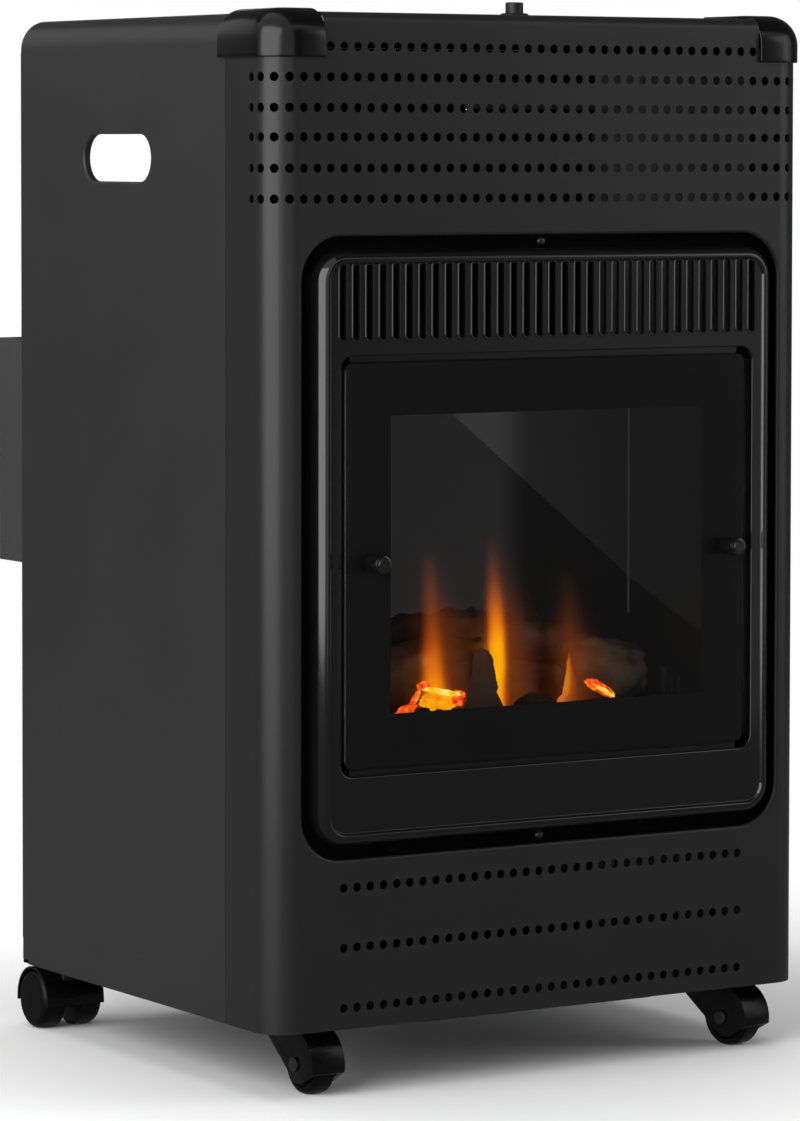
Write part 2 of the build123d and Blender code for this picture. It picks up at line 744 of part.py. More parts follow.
with BuildPart() as burner_tray:
    with BuildSketch(Plane.XY.offset(firebox_bottom)):
        with Locations((0, tray_middle)):
            Rectangle(tray_width, tray_run)
    extrude(amount=tray_depth)
    with BuildSketch(Plane.XY.offset(tray_floor)):
        with Locations((0, tray_middle)):
            Rectangle(tray_width - 2 * firebox_sheet, tray_run - 2 * firebox_sheet)
    extrude(amount=tray_depth, mode=Mode.SUBTRACT)
    with BuildSketch(Plane.XY.offset(firebox_bottom)):
        with Locations((mixing_side, burner_back)):
            Circle(mixing_radius)
        with Locations((thermocouple_side, pilot_back)):
            SlotOverall(pilot_slot_length, pilot_slot_width)
    extrude(amount=firebox_sheet, mode=Mode.SUBTRACT)
finish("burner_tray", burner_tray)

burner_wall = 1.2
feed_hole = 6.0                # hole that lets the mixture into the burner tube
with BuildPart() as burner_tube:
    with BuildSketch(side_plane(-burner_length / 2)):
        with Locations((burner_back, burner_height)):
            Circle(burner_radius)
    extrude(amount=burner_length)
    with BuildSketch(side_plane(burner_wall - burner_length / 2)):
        with Locations((burner_back, burner_height)):
            Circle(burner_radius - burner_wall)
    extrude(amount=burner_length - 2 * burner_wall, mode=Mode.SUBTRACT)
    with BuildSketch(Plane.XY.offset(burner_height)):
        with Locations((0, burner_back)):
            with GridLocations(burner_length / burner_ports, 1, burner_ports - 1, 1):
                RegularPolygon(burner_port_radius, 4)
    extrude(amount=burner_radius, mode=Mode.SUBTRACT)
    with BuildSketch(Plane.XY.offset(burner_height)):
        with Locations((mixing_side, burner_back)):
            Circle(feed_hole)
    extrude(amount=-burner_radius, mode=Mode.SUBTRACT)
finish("burner_tube", burner_tube)

air_port_height = 12.0
air_port_width = 9.0
air_port_rise = 8.0            # air ports above the mixing tube's lower end
mixing_wall = 1.5
mixing_bottom = tray_floor - mixing_length
with BuildPart() as mixing_tube:
    with BuildSketch(Plane.XY.offset(mixing_bottom)):
        with Locations((mixing_side, burner_back)):
            Circle(mixing_radius)
            Circle(mixing_radius - mixing_wall, mode=Mode.SUBTRACT)
    extrude(amount=mixing_length)
    with BuildSketch(front_plane(0)):
        with Locations((mixing_side, mixing_bottom + air_port_rise + air_port_height / 2)):
            Rectangle(air_port_width, air_port_height)
    extrude(amount=-firebox_depth, mode=Mode.SUBTRACT)
finish("mixing_tube", mixing_tube)

deck_slots = 9
deck_slot_pitch = 26.0
deck_slot_length = 18.0
deck_slot_width = 6.0
deck_bottom = firebox_bottom + tray_depth
deck_top = deck_bottom + firebox_sheet
with BuildPart() as burner_deck:
    with BuildSketch(Plane.XY.offset(deck_bottom)):
        with Locations((0, tray_middle)):
            Rectangle(tray_width, tray_run)
        with Locations((0, burner_back)):
            with GridLocations(deck_slot_pitch, 1, deck_slots, 1):
                Rectangle(deck_slot_length, deck_slot_width, mode=Mode.SUBTRACT)
        with Locations((thermocouple_side, pilot_back)):
            SlotOverall(pilot_slot_length, pilot_slot_width, mode=Mode.SUBTRACT)
    extrude(amount=firebox_sheet)
finish("burner_deck", burner_deck)

# ================================================================ ceramic logs and coals
log_sides = 9
log_rings = 5
flat_under = 0.7               # share of a log's lower half that is cut flat
slim_end = 0.72                # thickness of a log's ends, as a share of its middle
lump = 0.06                    # swelling along a log, as a share of its thickness
bark = 0.09                    # corners of a log's outline in and out of round


def rough_log(start, end, depth_middle, thickness, height, wave):
    """Lump of ceramic wood lying along X on the deck, its skin swelling and sinking with a wave."""
    with BuildPart() as log:
        for ring in range(log_rings):
            along = ring / (log_rings - 1)
            swell = slim_end + (1 - slim_end) * sin(pi * along) + lump * sin(7 * along + wave)
            place = Plane(origin=(start + along * (end - start), 0, 0), x_dir=(0, 1, 0), z_dir=(1, 0, 0))
            corners = []
            for corner in range(log_sides):
                turn = 2 * pi * corner / log_sides
                rough = swell * (1 + bark * sin(3 * turn + wave))
                rise = (flat_under + max(sin(turn), -flat_under)) / (1 + flat_under)
                reach = rough * thickness / 2 * cos(turn)
                corners.append((behind(depth_middle) + reach, deck_top + rough * height * rise))
            with BuildSketch(place):
                with BuildLine():
                    Polyline(*corners, close=True)
                make_face()
        loft(ruled=True)
    return log


logs = {
    "log_rear": rough_log(start=-120, end=42, depth_middle=70, thickness=34, height=60, wave=0.4),
    "log_left": rough_log(start=-114, end=-22, depth_middle=32, thickness=30, height=46, wave=2.1),
    "log_middle": rough_log(start=-6, end=34, depth_middle=34, thickness=30, height=34, wave=3.3),
    "log_right": rough_log(start=46, end=102, depth_middle=42, thickness=38, height=46, wave=5.0),
}
for log_name, log in logs.items():
    finish(log_name, log)

coal_radius = 6.0
coal_back = 11.0               # front face to the row of coals
coal_draft = 18.0
coal_places = (-96, -80, -64, -50, 60, 74)
with BuildPart() as ember_coals:
    for number, x in enumerate(coal_places):
        radius = coal_radius * (1 + 0.2 * sin(2 * number))
        with BuildSketch(Plane.XY.offset(deck_top)):
            with Locations((x, behind(coal_back + sin(3 * number)))):
                RegularPolygon(radius, 6, rotation=20 * number)
        extrude(amount=radius, taper=coal_draft)
finish("ember_coals", ember_coals)

# ================================================================ controls in the top panel
well_floor = casing_top - well_depth
knob_bottom = well_floor + knob_gap
spindle_radius = spindle_diameter / 2
knob_radius = knob_diameter / 2
gland_radius = 9.0             # neck of the gas valve that passes the floor of the well
knob_recess = 8.0
recess_play = 1.5

with BuildPart() as control_well:
    with BuildSketch(Plane.XY.offset(well_floor - well_wall)):
        with Locations((0, behind(well_back))):
            Circle(well_radius)
    extrude(amount=well_depth + well_wall)
    with BuildSketch(Plane.XY.offset(casing_top)):
        with Locations((0, behind(well_back))):
            Circle(well_radius + well_rim)
    extrude(amount=sheet)
    with BuildSketch(Plane.XY.offset(well_floor)):
        with Locations((0, behind(well_back))):
            Circle(well_radius - well_wall)
    extrude(amount=well_depth + sheet, mode=Mode.SUBTRACT)
    with BuildSketch(Plane.XY.offset(well_floor - well_wall)):
        with Locations((0, behind(well_back))):
            Circle(gland_radius + running_clearance)
    extrude(amount=well_wall, mode=Mode.SUBTRACT)
finish("control_well", control_well)

knob_plane = Plane(origin=(0, behind(well_back), knob_bottom))
knob_bore = spindle_radius + running_clearance
knob_top_wall = 3.0
knob_skirt = 13.0              # height of the ribbed skirt under the grip bar
knob_bar = 13.0                # width of the grip bar
rib_radius = 1.6
knob_soften = 2.0
spindle_end = knob_bottom + knob_height - knob_top_wall
with BuildPart() as control_knob:
    with BuildSketch(knob_plane):
        Circle(knob_radius - rib_radius / 2)
    extrude(amount=knob_skirt)
    fillet(control_knob.faces().sort_by(Axis.Z)[-1].edges(), knob_soften)
    with BuildSketch(knob_plane):
        with PolarLocations(knob_radius - rib_radius, knob_ribs):
            RegularPolygon(rib_radius, 6)
    extrude(amount=knob_skirt - 1.5 * knob_soften)
    with BuildSketch(knob_plane):
        SlotOverall(2 * (knob_radius - rib_radius), knob_bar, rotation=90)
    extrude(amount=knob_height)
    chamfer(control_knob.faces().sort_by(Axis.Z)[-1].edges(), knob_soften / 2)
    with BuildSketch(knob_plane):
        Circle(gland_radius + recess_play)
    extrude(amount=knob_recess, mode=Mode.SUBTRACT)
    with BuildSketch(knob_plane):
        Circle(knob_bore)
    extrude(amount=knob_height - knob_top_wall, mode=Mode.SUBTRACT)
finish("control_knob", control_knob)

bezel_radius = bezel_diameter / 2
button_radius = button_diameter / 2
button_top = casing_top + button_proud
button_bottom = casing_top - 2 * button_travel
igniter_bottom = casing_top - igniter_length
igniter_nut = 5.0
bezel_chamfer = 1.5
button_round = 1.2
igniter_floor = button_bottom - button_travel - side_play
with BuildPart() as igniter_body:
    with BuildSketch(Plane.XY.offset(igniter_bottom)):
        with Locations((button_side, behind(button_back))):
            Circle(igniter_radius)
    extrude(amount=igniter_length)
    with BuildSketch(Plane.XY.offset(casing_top)):
        with Locations((button_side, behind(button_back))):
            Circle(bezel_radius)
    extrude(amount=bezel_height)
    chamfer(igniter_body.faces().sort_by(Axis.Z)[-1].edges(), bezel_chamfer)
    # nut that clamps it under the top
    with BuildSketch(Plane.XY.offset(casing_top - sheet - igniter_nut)):
        with Locations((button_side, behind(button_back))):
            RegularPolygon(bezel_radius + bezel_chamfer, 6)
    extrude(amount=igniter_nut)
    with BuildSketch(Plane.XY.offset(igniter_floor)):
        with Locations((button_side, behind(button_back))):
            Circle(button_radius + 2 * running_clearance)
    extrude(amount=casing_top + bezel_height - igniter_floor, mode=Mode.SUBTRACT)
finish("igniter_body", igniter_body)

with BuildPart() as igniter_button:
    with BuildSketch(Plane.XY.offset(button_bottom)):
        with Locations((button_side, behind(button_back))):
            Circle(button_radius)
    extrude(amount=button_top - button_bottom)
    fillet(igniter_button.faces().sort_by(Axis.Z)[-1].edges(), button_round)
finish("igniter_button", igniter_button)

# ================================================================ gas valve, nozzle and burner feed
valve_top = well_floor - valve_drop
valve_bottom = valve_top - valve_height
spindle_hold = 6.0
spindle_bottom = valve_top - spindle_hold
valve_corner = 4.0
neck_shoulder = 5.0
neck_rise = 2.0                # neck stands this far into the well
spindle_bore = spindle_radius + running_clearance
bracket_sheet = 2.0
nozzle_hex = 8.0
nozzle_flats = 9.0
nozzle_chamfer = 1.0
nozzle_level = (valve_top + valve_bottom) / 2
valve_back_face = well_back + valve_depth / 2

with BuildPart() as gas_valve:
    with BuildSketch(Plane.XY.offset(valve_bottom)):
        with Locations((0, behind(well_back))):
            RectangleRounded(valve_width, valve_depth, valve_corner)
    extrude(amount=valve_height)
    # shouldered neck held in the floor of the well
    with BuildSketch(Plane.XY.offset(valve_top)):
        with Locations((0, behind(well_back))):
            Circle(gland_radius + neck_shoulder)
    extrude(amount=well_floor - well_wall - valve_top)
    with BuildSketch(Plane.XY.offset(valve_top)):
        with Locations((0, behind(well_back))):
            Circle(gland_radius)
    extrude(amount=well_floor - valve_top + neck_rise)
    with BuildSketch(Plane.XY.offset(spindle_bottom - knob_press - side_play)):
        with Locations((0, behind(well_back))):
            Circle(spindle_bore)
    extrude(amount=casing_height, mode=Mode.SUBTRACT)
finish("gas_valve", gas_valve)

with BuildPart() as valve_spindle:
    with BuildSketch(Plane.XY.offset(spindle_bottom)):
        with Locations((0, behind(well_back))):
            Circle(spindle_radius)
    extrude(amount=spindle_end - spindle_bottom)
finish("valve_spindle", valve_spindle)

with BuildPart() as inlet_nozzle:
    with BuildSketch(front_plane(valve_back_face)):
        with Locations((0, nozzle_level)):
            RegularPolygon(nozzle_flats, 6)
    extrude(amount=-nozzle_hex)
    with BuildSketch(front_plane(valve_back_face)):
        with Locations((0, nozzle_level)):
            Circle(nozzle_radius)
    extrude(amount=-nozzle_length)
    chamfer(inlet_nozzle.faces().sort_by(Axis.Y)[-1].edges(), nozzle_chamfer)
    with BuildSketch(front_plane(valve_back_face)):
        with Locations((0, nozzle_level)):
            Circle(nozzle_bore)
    extrude(amount=-nozzle_length, mode=Mode.SUBTRACT)
finish("inlet_nozzle", inlet_nozzle)

injector_radius = 6.0
injector_length = 22.0
injector_tip_radius = 3.5
injector_hex = 8.0             # height and half width of the injector's spanner flats
injector_gap = 12.0            # injector's bracket below the mixing tube
injector_plate = mixing_bottom - injector_gap
injector_neck = 4.0
bracket_side = 30.0
bracket_front = 14.0           # bracket in front of the injector's axis
bracket_rise = 24.0
pipe_bend = 16.0
pipe_drop = 50.0               # straight stretch under the valve
pipe_side = -14.0              # pipe's start to the left of the valve's middle
pipe_gap = 2.0
pipe_back = partition_depth + flange_width + pipe_radius + pipe_gap
bracket_run = partition_depth - firebox_depth / 2 + bracket_front

with BuildPart() as injector_bracket:
    with BuildSketch(Plane.XY.offset(injector_plate)):
        with Locations((mixing_side, behind(partition_depth - bracket_run / 2))):
            Rectangle(bracket_side, bracket_run)
        with Locations((mixing_side, burner_back)):
            Circle(injector_radius, mode=Mode.SUBTRACT)
    extrude(amount=bracket_sheet)
    with BuildSketch(front_plane(partition_depth)):
        with Locations((mixing_side, injector_plate + bracket_rise / 2)):
            Rectangle(bracket_side, bracket_rise)
    extrude(amount=bracket_sheet)
finish("injector_bracket", injector_bracket)

with BuildPart() as injector:
    with BuildSketch(Plane.XY.offset(injector_plate - injector_hex)):
        with Locations((mixing_side, burner_back)):
            RegularPolygon(injector_hex, 6)
    extrude(amount=injector_hex)
    neck = (injector_radius, bracket_sheet + injector_neck)
    tip = (injector_tip_radius, injector_length)
    for radius, length in (neck, tip):
        with BuildSketch(Plane.XY.offset(injector_plate)):
            with Locations((mixing_side, burner_back)):
                Circle(radius)
        extrude(amount=length)
finish("injector", injector)



def tube_along(points, bend, radius):
    """Round tube along straight stretches joined by bends."""
    with BuildPart() as tube:
        with BuildLine() as path:
            FilletPolyline(*points, radius=bend)
        with BuildSketch(Plane(origin=path.line @ 0, z_dir=path.line % 0)):
            Circle(radius)
        sweep()
    return tube


feed_pipe = tube_along(
    [
        (pipe_side, behind(well_back), valve_bottom),
        (pipe_side, behind(well_back), valve_bottom - pipe_drop),
        (mixing_side, behind(pipe_back), valve_bottom - 2 * pipe_drop),
        (mixing_side, behind(pipe_back), pipe_level),
        (mixing_side, burner_back, pipe_level),
        (mixing_side, burner_back, injector_plate - injector_hex),
    ],
    pipe_bend, pipe_radius,
)
finish("feed_pipe", feed_pipe)

# ================================================================ pilot, thermocouple and electrode
lead_bend = 5.0
lead_level = 186.0             # leads run back under the fire box at this height
lead_back = behind(104.0)      # and rise in the gap behind it
pilot_height = 262.0
probe_height = 256.0
pilot_hood = 14.0
valve_front = behind(well_back - valve_depth / 2)
port_side = 10.0
pilot_port = valve_bottom + 2 * lead_diameter
thermocouple_port = pilot_port + 3 * lead_diameter
electrode_run = igniter_bottom - 2 * lead_bend
lead_radius = lead_diameter / 2


def lead_to_valve(side, top, port_x, port):
    """Thin tube from the burner's deck, under and behind the fire box, to the valve's front."""
    return [
        (side, pilot_back, top), (side, pilot_back, lead_level), (side, lead_back, lead_level),
        (side, lead_back, port), (port_x, lead_back, port), (port_x, valve_front, port),
    ]


pilot_path = lead_to_valve(pilot_side, pilot_height, -port_side, pilot_port)
pilot_burner = tube_along(pilot_path, lead_bend, lead_radius)
with pilot_burner:
    with BuildSketch(Plane.XY.offset(pilot_height - pilot_hood)) as hood:
        with Locations((pilot_side, pilot_back)):
            Circle(lead_diameter)
    extrude(hood.sketch, amount=pilot_hood)
finish("pilot_burner", pilot_burner)

thermocouple = tube_along(
    lead_to_valve(thermocouple_side, probe_height, port_side, thermocouple_port), lead_bend, lead_radius
)
finish("thermocouple", thermocouple)

ignition_electrode = tube_along(
    [
        (electrode_side, pilot_back, probe_height),
        (electrode_side, pilot_back, lead_level),
        (electrode_side, lead_back, lead_level),
        (electrode_side, lead_back, electrode_run),
        (button_side, lead_back, electrode_run),
        (button_side, behind(button_back), electrode_run),
        (button_side, behind(button_back), igniter_bottom),
    ],
    lead_bend, lead_radius,
)
finish("ignition_electrode", ignition_electrode)

# ================================================================ heat shield between fire and bottle
with BuildPart() as partition_panel:
    with BuildSketch(front_plane(partition_depth + sheet)):
        with Locations((0, (pan_top + partition_top) / 2)):
            Rectangle(2 * (inner_half - sheet), partition_top - pan_top)
    extrude(amount=sheet)
    # folded side edges and top edge
    with BuildSketch(Plane.XY.offset(pan_top)):
        for side in (-1, 1):
            with Locations((side * (inner_half - 1.5 * sheet), behind(partition_depth + shield_fold / 2))):
                Rectangle(sheet, shield_fold)
    extrude(amount=partition_top - pan_top)
    with BuildSketch(Plane.XY.offset(partition_top - sheet)):
        with Locations((0, behind(partition_depth + shield_fold / 2))):
            Rectangle(2 * (inner_half - sheet), shield_fold)
    extrude(amount=sheet)
    with BuildSketch(front_plane(partition_depth + sheet)):
        for level in partition_slot_levels:
            with Locations((-mixing_side / 2, level)):
                with GridLocations(partition_slot_pitch, 1, partition_slots - 1, 1):
                    SlotOverall(partition_slot_length, partition_slot_width)
        with Locations((mixing_side, pipe_level)):
            Circle(pipe_radius + pipe_hole_play)
        with Locations((-port_side, pilot_port), (port_side, thermocouple_port), (button_side, electrode_run)):
            Circle(lead_radius + pipe_hole_play)
    extrude(amount=sheet, mode=Mode.SUBTRACT)
finish("partition_panel", partition_panel)

# ================================================================ casters
axle_radius = axle_diameter / 2
wheel_bore = axle_radius + running_clearance
fork_top = ground_clearance - collar_height - collar_gap
collar_radius = stem_diameter
stem_short = 2.0               # stem ends this far below the socket's top
stem_chamfer = 1.0
stem_top = ground_clearance + socket_height - stem_short
stem_hold = 6.0                # length of the stem inside the caster's body
rim_chamfer = 1.5
cheek_tail = 44.5              # fork's cheek: rear end of its top edge, behind the axle
cheek_low = 12.0               # lowest edge of the cheek below the axle
cheek_foot = 8.0               # length of that edge
hub_radius = 9.0
hub_recess = 1.5
hood_cut = 3.0                 # rear hood ends this far below the axle
axle_reach = 0.7               # share of the rear wheel's width that its axle fills
rear_wheel_round = 5.0


def caster_planes(stem, heading, trail, axle_height):
    """Plane of the caster's side view, through its axle, with local x pointing along the heading."""
    turn = radians(heading)
    ahead = (sin(turn), -cos(turn), 0)
    axle = (stem[0] + trail * ahead[0], stem[1] + trail * ahead[1], axle_height)
    return Plane(origin=axle, x_dir=ahead, z_dir=(ahead[1], -ahead[0], 0))


def pressed_stem(name, stem, bottom):
    """Steel stem held in the caster's body and turning in the casing's socket."""
    with BuildPart() as pin:
        with BuildSketch(Plane.XY.offset(bottom)):
            with Locations(stem):
                Circle(stem_radius)
        extrude(amount=stem_top - bottom)
        chamfer(pin.faces().sort_by(Axis.Z)[-1].edges(), stem_chamfer)
    finish(name, pin)


def front_caster(name, stem, heading):
    """Single-wheel caster: hooded fork, riveted axle, stem and wheel."""
    side_view = caster_planes(stem, heading, front_trail, front_wheel_radius)
    cavity = front_wheel_radius + wheel_gap
    body_top = fork_top - front_wheel_radius
    with BuildPart() as fork:
        with BuildSketch(side_view):
            with BuildLine():
                crown = CenterArc((0, 0), front_hood_radius, -10, 100)
                Polyline(
                    crown @ 1, (0, body_top), (-cheek_tail, body_top),
                    (0, -cheek_low), (cheek_foot, -cheek_low), crown @ 0,
                )
            make_face()
        extrude(amount=front_fork_width / 2, both=True)
        with BuildSketch(side_view):
            Circle(cavity)
            with Locations((0, -cavity / 2)):
                Rectangle(2 * cavity, cavity)
        extrude(amount=front_wheel_width / 2 + side_play, both=True, mode=Mode.SUBTRACT)
        with BuildSketch(side_view):
            Circle(axle_radius)
        extrude(amount=front_fork_width / 2, both=True, mode=Mode.SUBTRACT)
        with BuildSketch(Plane.XY.offset(fork_top)):
            with Locations(stem):
                Circle(collar_radius)
        extrude(amount=collar_height)
        with BuildSketch(Plane.XY.offset(fork_top - stem_hold)):
            with Locations(stem):
                Circle(stem_radius)
        extrude(amount=stem_hold + collar_height, mode=Mode.SUBTRACT)
    finish(f"front_fork_{name}", fork)
    with BuildPart() as axle:
        with BuildSketch(side_view):
            Circle(axle_radius)
        extrude(amount=front_fork_width / 2, both=True)
        for end in (-1, 1):
            with BuildSketch(side_view.offset(end * front_fork_width / 2)):
                Circle(rivet_diameter / 2)
            extrude(amount=end * rivet_height)
    finish(f"front_axle_{name}", axle)
    with BuildPart() as wheel:
        with BuildSketch(side_view):
            Circle(front_wheel_radius)
        extrude(amount=front_wheel_width / 2, both=True)
        chamfer(wheel.edges().filter_by(GeomType.CIRCLE), rim_chamfer)
        for end in (-1, 1):
            with BuildSketch(side_view.offset(end * front_wheel_width / 2)):
                Circle(front_wheel_radius - 2 * hub_recess - rim_chamfer)
                Circle(hub_radius, mode=Mode.SUBTRACT)
            extrude(amount=-end * hub_recess, mode=Mode.SUBTRACT)
        with BuildSketch(side_view):
            Circle(wheel_bore)
        extrude(amount=front_wheel_width / 2, both=True, mode=Mode.SUBTRACT)
    finish(f"front_wheel_{name}", wheel)
    pressed_stem(f"front_stem_{name}", stem, fork_top - stem_hold)


def rear_caster(name, stem):
    """Twin-wheel caster: half-round hood on a middle web, blind-bored wheels, axle and stem."""
    side_view = caster_planes(stem, 180, rear_trail, rear_wheel_radius)
    cavity = rear_wheel_radius + wheel_gap
    with BuildPart() as body:
        with BuildSketch(side_view):
            Circle(rear_hood_radius)
            with Locations((0, -hood_cut - rear_hood_radius / 2)):
                Rectangle(2 * rear_hood_radius, rear_hood_radius, mode=Mode.SUBTRACT)
            Circle(stem_diameter)
        extrude(amount=rear_hood_width / 2, both=True)
        with BuildSketch(Plane.XY.offset(rear_wheel_radius + rear_trail)):
            with Locations(stem):
                Circle(stem_diameter)
        extrude(amount=fork_top + collar_height - rear_wheel_radius - rear_trail)
        for end in (-1, 1):
            with BuildSketch(side_view.offset(end * rear_web / 2)):
                Circle(cavity)
            extrude(amount=end * rear_hood_width, mode=Mode.SUBTRACT)
        with BuildSketch(side_view):
            Circle(axle_radius)
        extrude(amount=rear_web / 2, both=True, mode=Mode.SUBTRACT)
        with BuildSketch(Plane.XY.offset(rear_wheel_radius + rear_trail - stem_hold)):
            with Locations(stem):
                Circle(stem_radius)
        extrude(amount=ground_clearance, mode=Mode.SUBTRACT)
    finish(f"rear_body_{name}", body)
    axle_half = rear_web / 2 + side_play + axle_reach * rear_wheel_width
    with BuildPart() as axle:
        with BuildSketch(side_view):
            Circle(axle_radius)
        extrude(amount=axle_half, both=True)
    finish(f"rear_axle_{name}", axle)
    for wheel_name, end in (("a", -1), ("b", 1)):
        with BuildPart() as wheel:
            with BuildSketch(side_view.offset(end * (rear_web / 2 + side_play))):
                Circle(rear_wheel_radius)
            extrude(amount=end * rear_wheel_width)
            outer = wheel.faces().sort_by(lambda face: end * side_view.to_local_coords(face.center()).Z)[-1]
            fillet(outer.edges(), rear_wheel_round)
            with BuildSketch(side_view.offset(end * (rear_web / 2 + side_play))):
                Circle(wheel_bore)
            extrude(amount=end * (axle_half - rear_web / 2), mode=Mode.SUBTRACT)
        finish(f"rear_wheel_{name}_{wheel_name}", wheel)
    pressed_stem(f"rear_stem_{name}", stem, rear_wheel_radius + rear_trail - stem_hold)


front_caster("left", stem_places["front_left"], 0)
front_caster("right", stem_places["front_right"], right_swivel)
rear_caster("left", stem_places["rear_left"])
rear_caster("right", stem_places["rear_right"])
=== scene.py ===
"""Portable gas cabinet heater: materials, detailed skins, fire, floor, light and camera."""
import json
import math
import bpy
import bmesh
from mathutils import Matrix, Vector, noise
from mathutils.geometry import delaunay_2d_cdt


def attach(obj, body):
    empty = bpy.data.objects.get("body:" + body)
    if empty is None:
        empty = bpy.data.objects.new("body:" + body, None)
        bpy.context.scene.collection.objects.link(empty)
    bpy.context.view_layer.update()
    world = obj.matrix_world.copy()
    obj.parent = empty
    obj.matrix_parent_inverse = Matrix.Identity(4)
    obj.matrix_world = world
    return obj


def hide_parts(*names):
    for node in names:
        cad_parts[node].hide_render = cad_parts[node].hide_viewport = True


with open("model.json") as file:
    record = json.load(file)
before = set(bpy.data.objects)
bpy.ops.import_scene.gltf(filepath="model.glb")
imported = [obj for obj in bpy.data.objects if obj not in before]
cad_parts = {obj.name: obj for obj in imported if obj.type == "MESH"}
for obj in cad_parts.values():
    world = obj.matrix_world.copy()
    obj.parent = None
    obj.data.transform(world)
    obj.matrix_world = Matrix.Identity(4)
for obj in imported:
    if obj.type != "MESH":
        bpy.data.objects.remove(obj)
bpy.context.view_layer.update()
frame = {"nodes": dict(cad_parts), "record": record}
nodes = frame["nodes"]
pi = math.pi
sin, cos = math.sin, math.cos
scene = bpy.context.scene

# ---- sizes, in millimetres as in the CAD
FRONT = -179.35                # Y of the front face
HALF = 209.0                   # half the width of the casing
BEND = 21.5                    # radius of the front shell's two bends
FLAT = HALF - BEND
BEND_RUN = BEND * pi / 2
SEAM = 58.5                    # where the shell ends on the sides, behind the front face
JOINT_GAP = 0.3
SHEET = 1.2
BOTTOM, TOP = 44.0, 696.0
ROLL = 20.0                    # radius of the sides' rolled top edge
SHELL_TOP = TOP - ROLL
FRONT_ROLL = 7.0               # radius of the shell's top edge
DEPTH = 342.0
OPEN_W, OPEN_LOW, OPEN_HIGH, OPEN_R = 372.0, 153.5, 553.0, 29.0
OPEN_MID, OPEN_H = (OPEN_LOW + OPEN_HIGH) / 2, OPEN_HIGH - OPEN_LOW
TRENCH = 8.5                   # width of the groove between shell and insert
FLANGE_FRONT, FLANGE_BACK = 8.0, 9.5
CAP_FRONT, CAP_SIDE = 39.0, 64.8               # reach of a corner cap over the front and the side
LOW_EDGE, HIGH_EDGE = 62.0, SHELL_TOP - 14     # ends of the trim along the sides' seams


def at(x, behind, z):
    """Point in metres from millimetres: x, distance behind the front face, height."""
    return Vector((x / 1000, (FRONT + behind) / 1000, z / 1000))


def on_front(x, z, behind):
    """The same point from its place in the front view and its depth."""
    return at(x, behind, z)


# ---- camera
FOCAL, YAW, PITCH, TILT = 4972.3, math.radians(31.910), math.radians(-2.819), math.radians(0.079)
EYE = (-1799.4, -2707.9, 577 + 34.2)
PHOTO_HEIGHT, CENTRE_ROW, SENSOR = 1121, 390.0, 36.0
lens = bpy.data.cameras.new("camera")
camera = bpy.data.objects.new("camera", lens)
scene.collection.objects.link(camera)
forward = Vector((sin(YAW) * cos(PITCH), cos(YAW) * cos(PITCH), sin(PITCH)))
level = Vector((cos(YAW), -sin(YAW), 0))
rise = level.cross(forward)
right = level * cos(TILT) + rise * sin(TILT)
up = rise * cos(TILT) - level * sin(TILT)
turn = Matrix((right, up, -forward)).transposed().to_4x4()
turn.translation = at(*EYE)
camera.matrix_world = turn
lens.sensor_width = SENSOR
lens.lens = FOCAL / PHOTO_HEIGHT * SENSOR
lens.shift_y = -(PHOTO_HEIGHT / 2 - CENTRE_ROW) / PHOTO_HEIGHT
lens.clip_start, lens.clip_end = 0.1, 100.0
scene.camera = camera


# ---- materials
def tree(name):
    """New node material: itself, its tree and its shader."""
    made = bpy.data.materials.new(name)
    made.use_nodes = True
    return made, made.node_tree, made.node_tree.nodes["Principled BSDF"]


def bare_tree(name):
    """New node material without a shader: itself and its tree."""
    made, net, shader = tree(name)
    net.nodes.remove(shader)
    return made, net


def feed(net, made, inputs):
    """Give inputs of a node their values, or the sockets that drive them."""
    for key, value in inputs.items():
        if isinstance(value, bpy.types.NodeSocket):
            net.links.new(value, made.inputs[key])
        else:
            made.inputs[key].default_value = value


def add_node(net, kind, inputs=None, **settings):
    """New shader node with its settings and inputs."""
    made = net.nodes.new("ShaderNode" + kind)
    for key, value in settings.items():
        setattr(made, key, value)
    feed(net, made, inputs or {})
    return made


def show(net, shader, output="Material Output"):
    """Let the surface show a shader."""
    net.links.new(shader.outputs[0], net.nodes[output].inputs["Surface"])


def show_mix(net, share, under, over, output="Material Output"):
    """Show one shader, and as much of another over it as the share says."""
    mix = add_node(net, "MixShader", {"Fac": share, 1: under.outputs[0], 2: over.outputs[0]})
    show(net, mix, output)


def mapped(net, value, start, end, low=0.0, high=1.0, **settings):
    """A value's range turned into another."""
    ends = {"From Min": start, "From Max": end, "To Min": low, "To Max": high}
    return add_node(net, "MapRange", {"Value": value, **ends}, **settings).outputs["Result"]


def blend(net, share, first, second):
    """Colour between two others."""
    return add_node(net, "Mix", {0: share, 6: first, 7: second}, data_type="RGBA").outputs[2]


def calculated(net, operation, first, second):
    return add_node(net, "Math", {0: first, 1: second}, operation=operation).outputs["Value"]


def own_place(net):
    """The object's own coordinates, which are metres in the CAD frame."""
    return add_node(net, "TexCoord").outputs["Object"]


def own_axis(net, axis):
    return add_node(net, "SeparateXYZ", {"Vector": own_place(net)}).outputs[axis]


def noise_node(net, scale, detail, rough, stretch=None):
    """Noise in the object's own coordinates."""
    place = own_place(net)
    if stretch:
        place = add_node(net, "Mapping", {"Scale": stretch, "Vector": place}).outputs["Vector"]
    grain = {"Scale": scale, "Detail": detail, "Roughness": rough}
    return add_node(net, "TexNoise", {"Vector": place, **grain}).outputs["Fac"]


def grey(tone):
    return (tone, tone, tone)


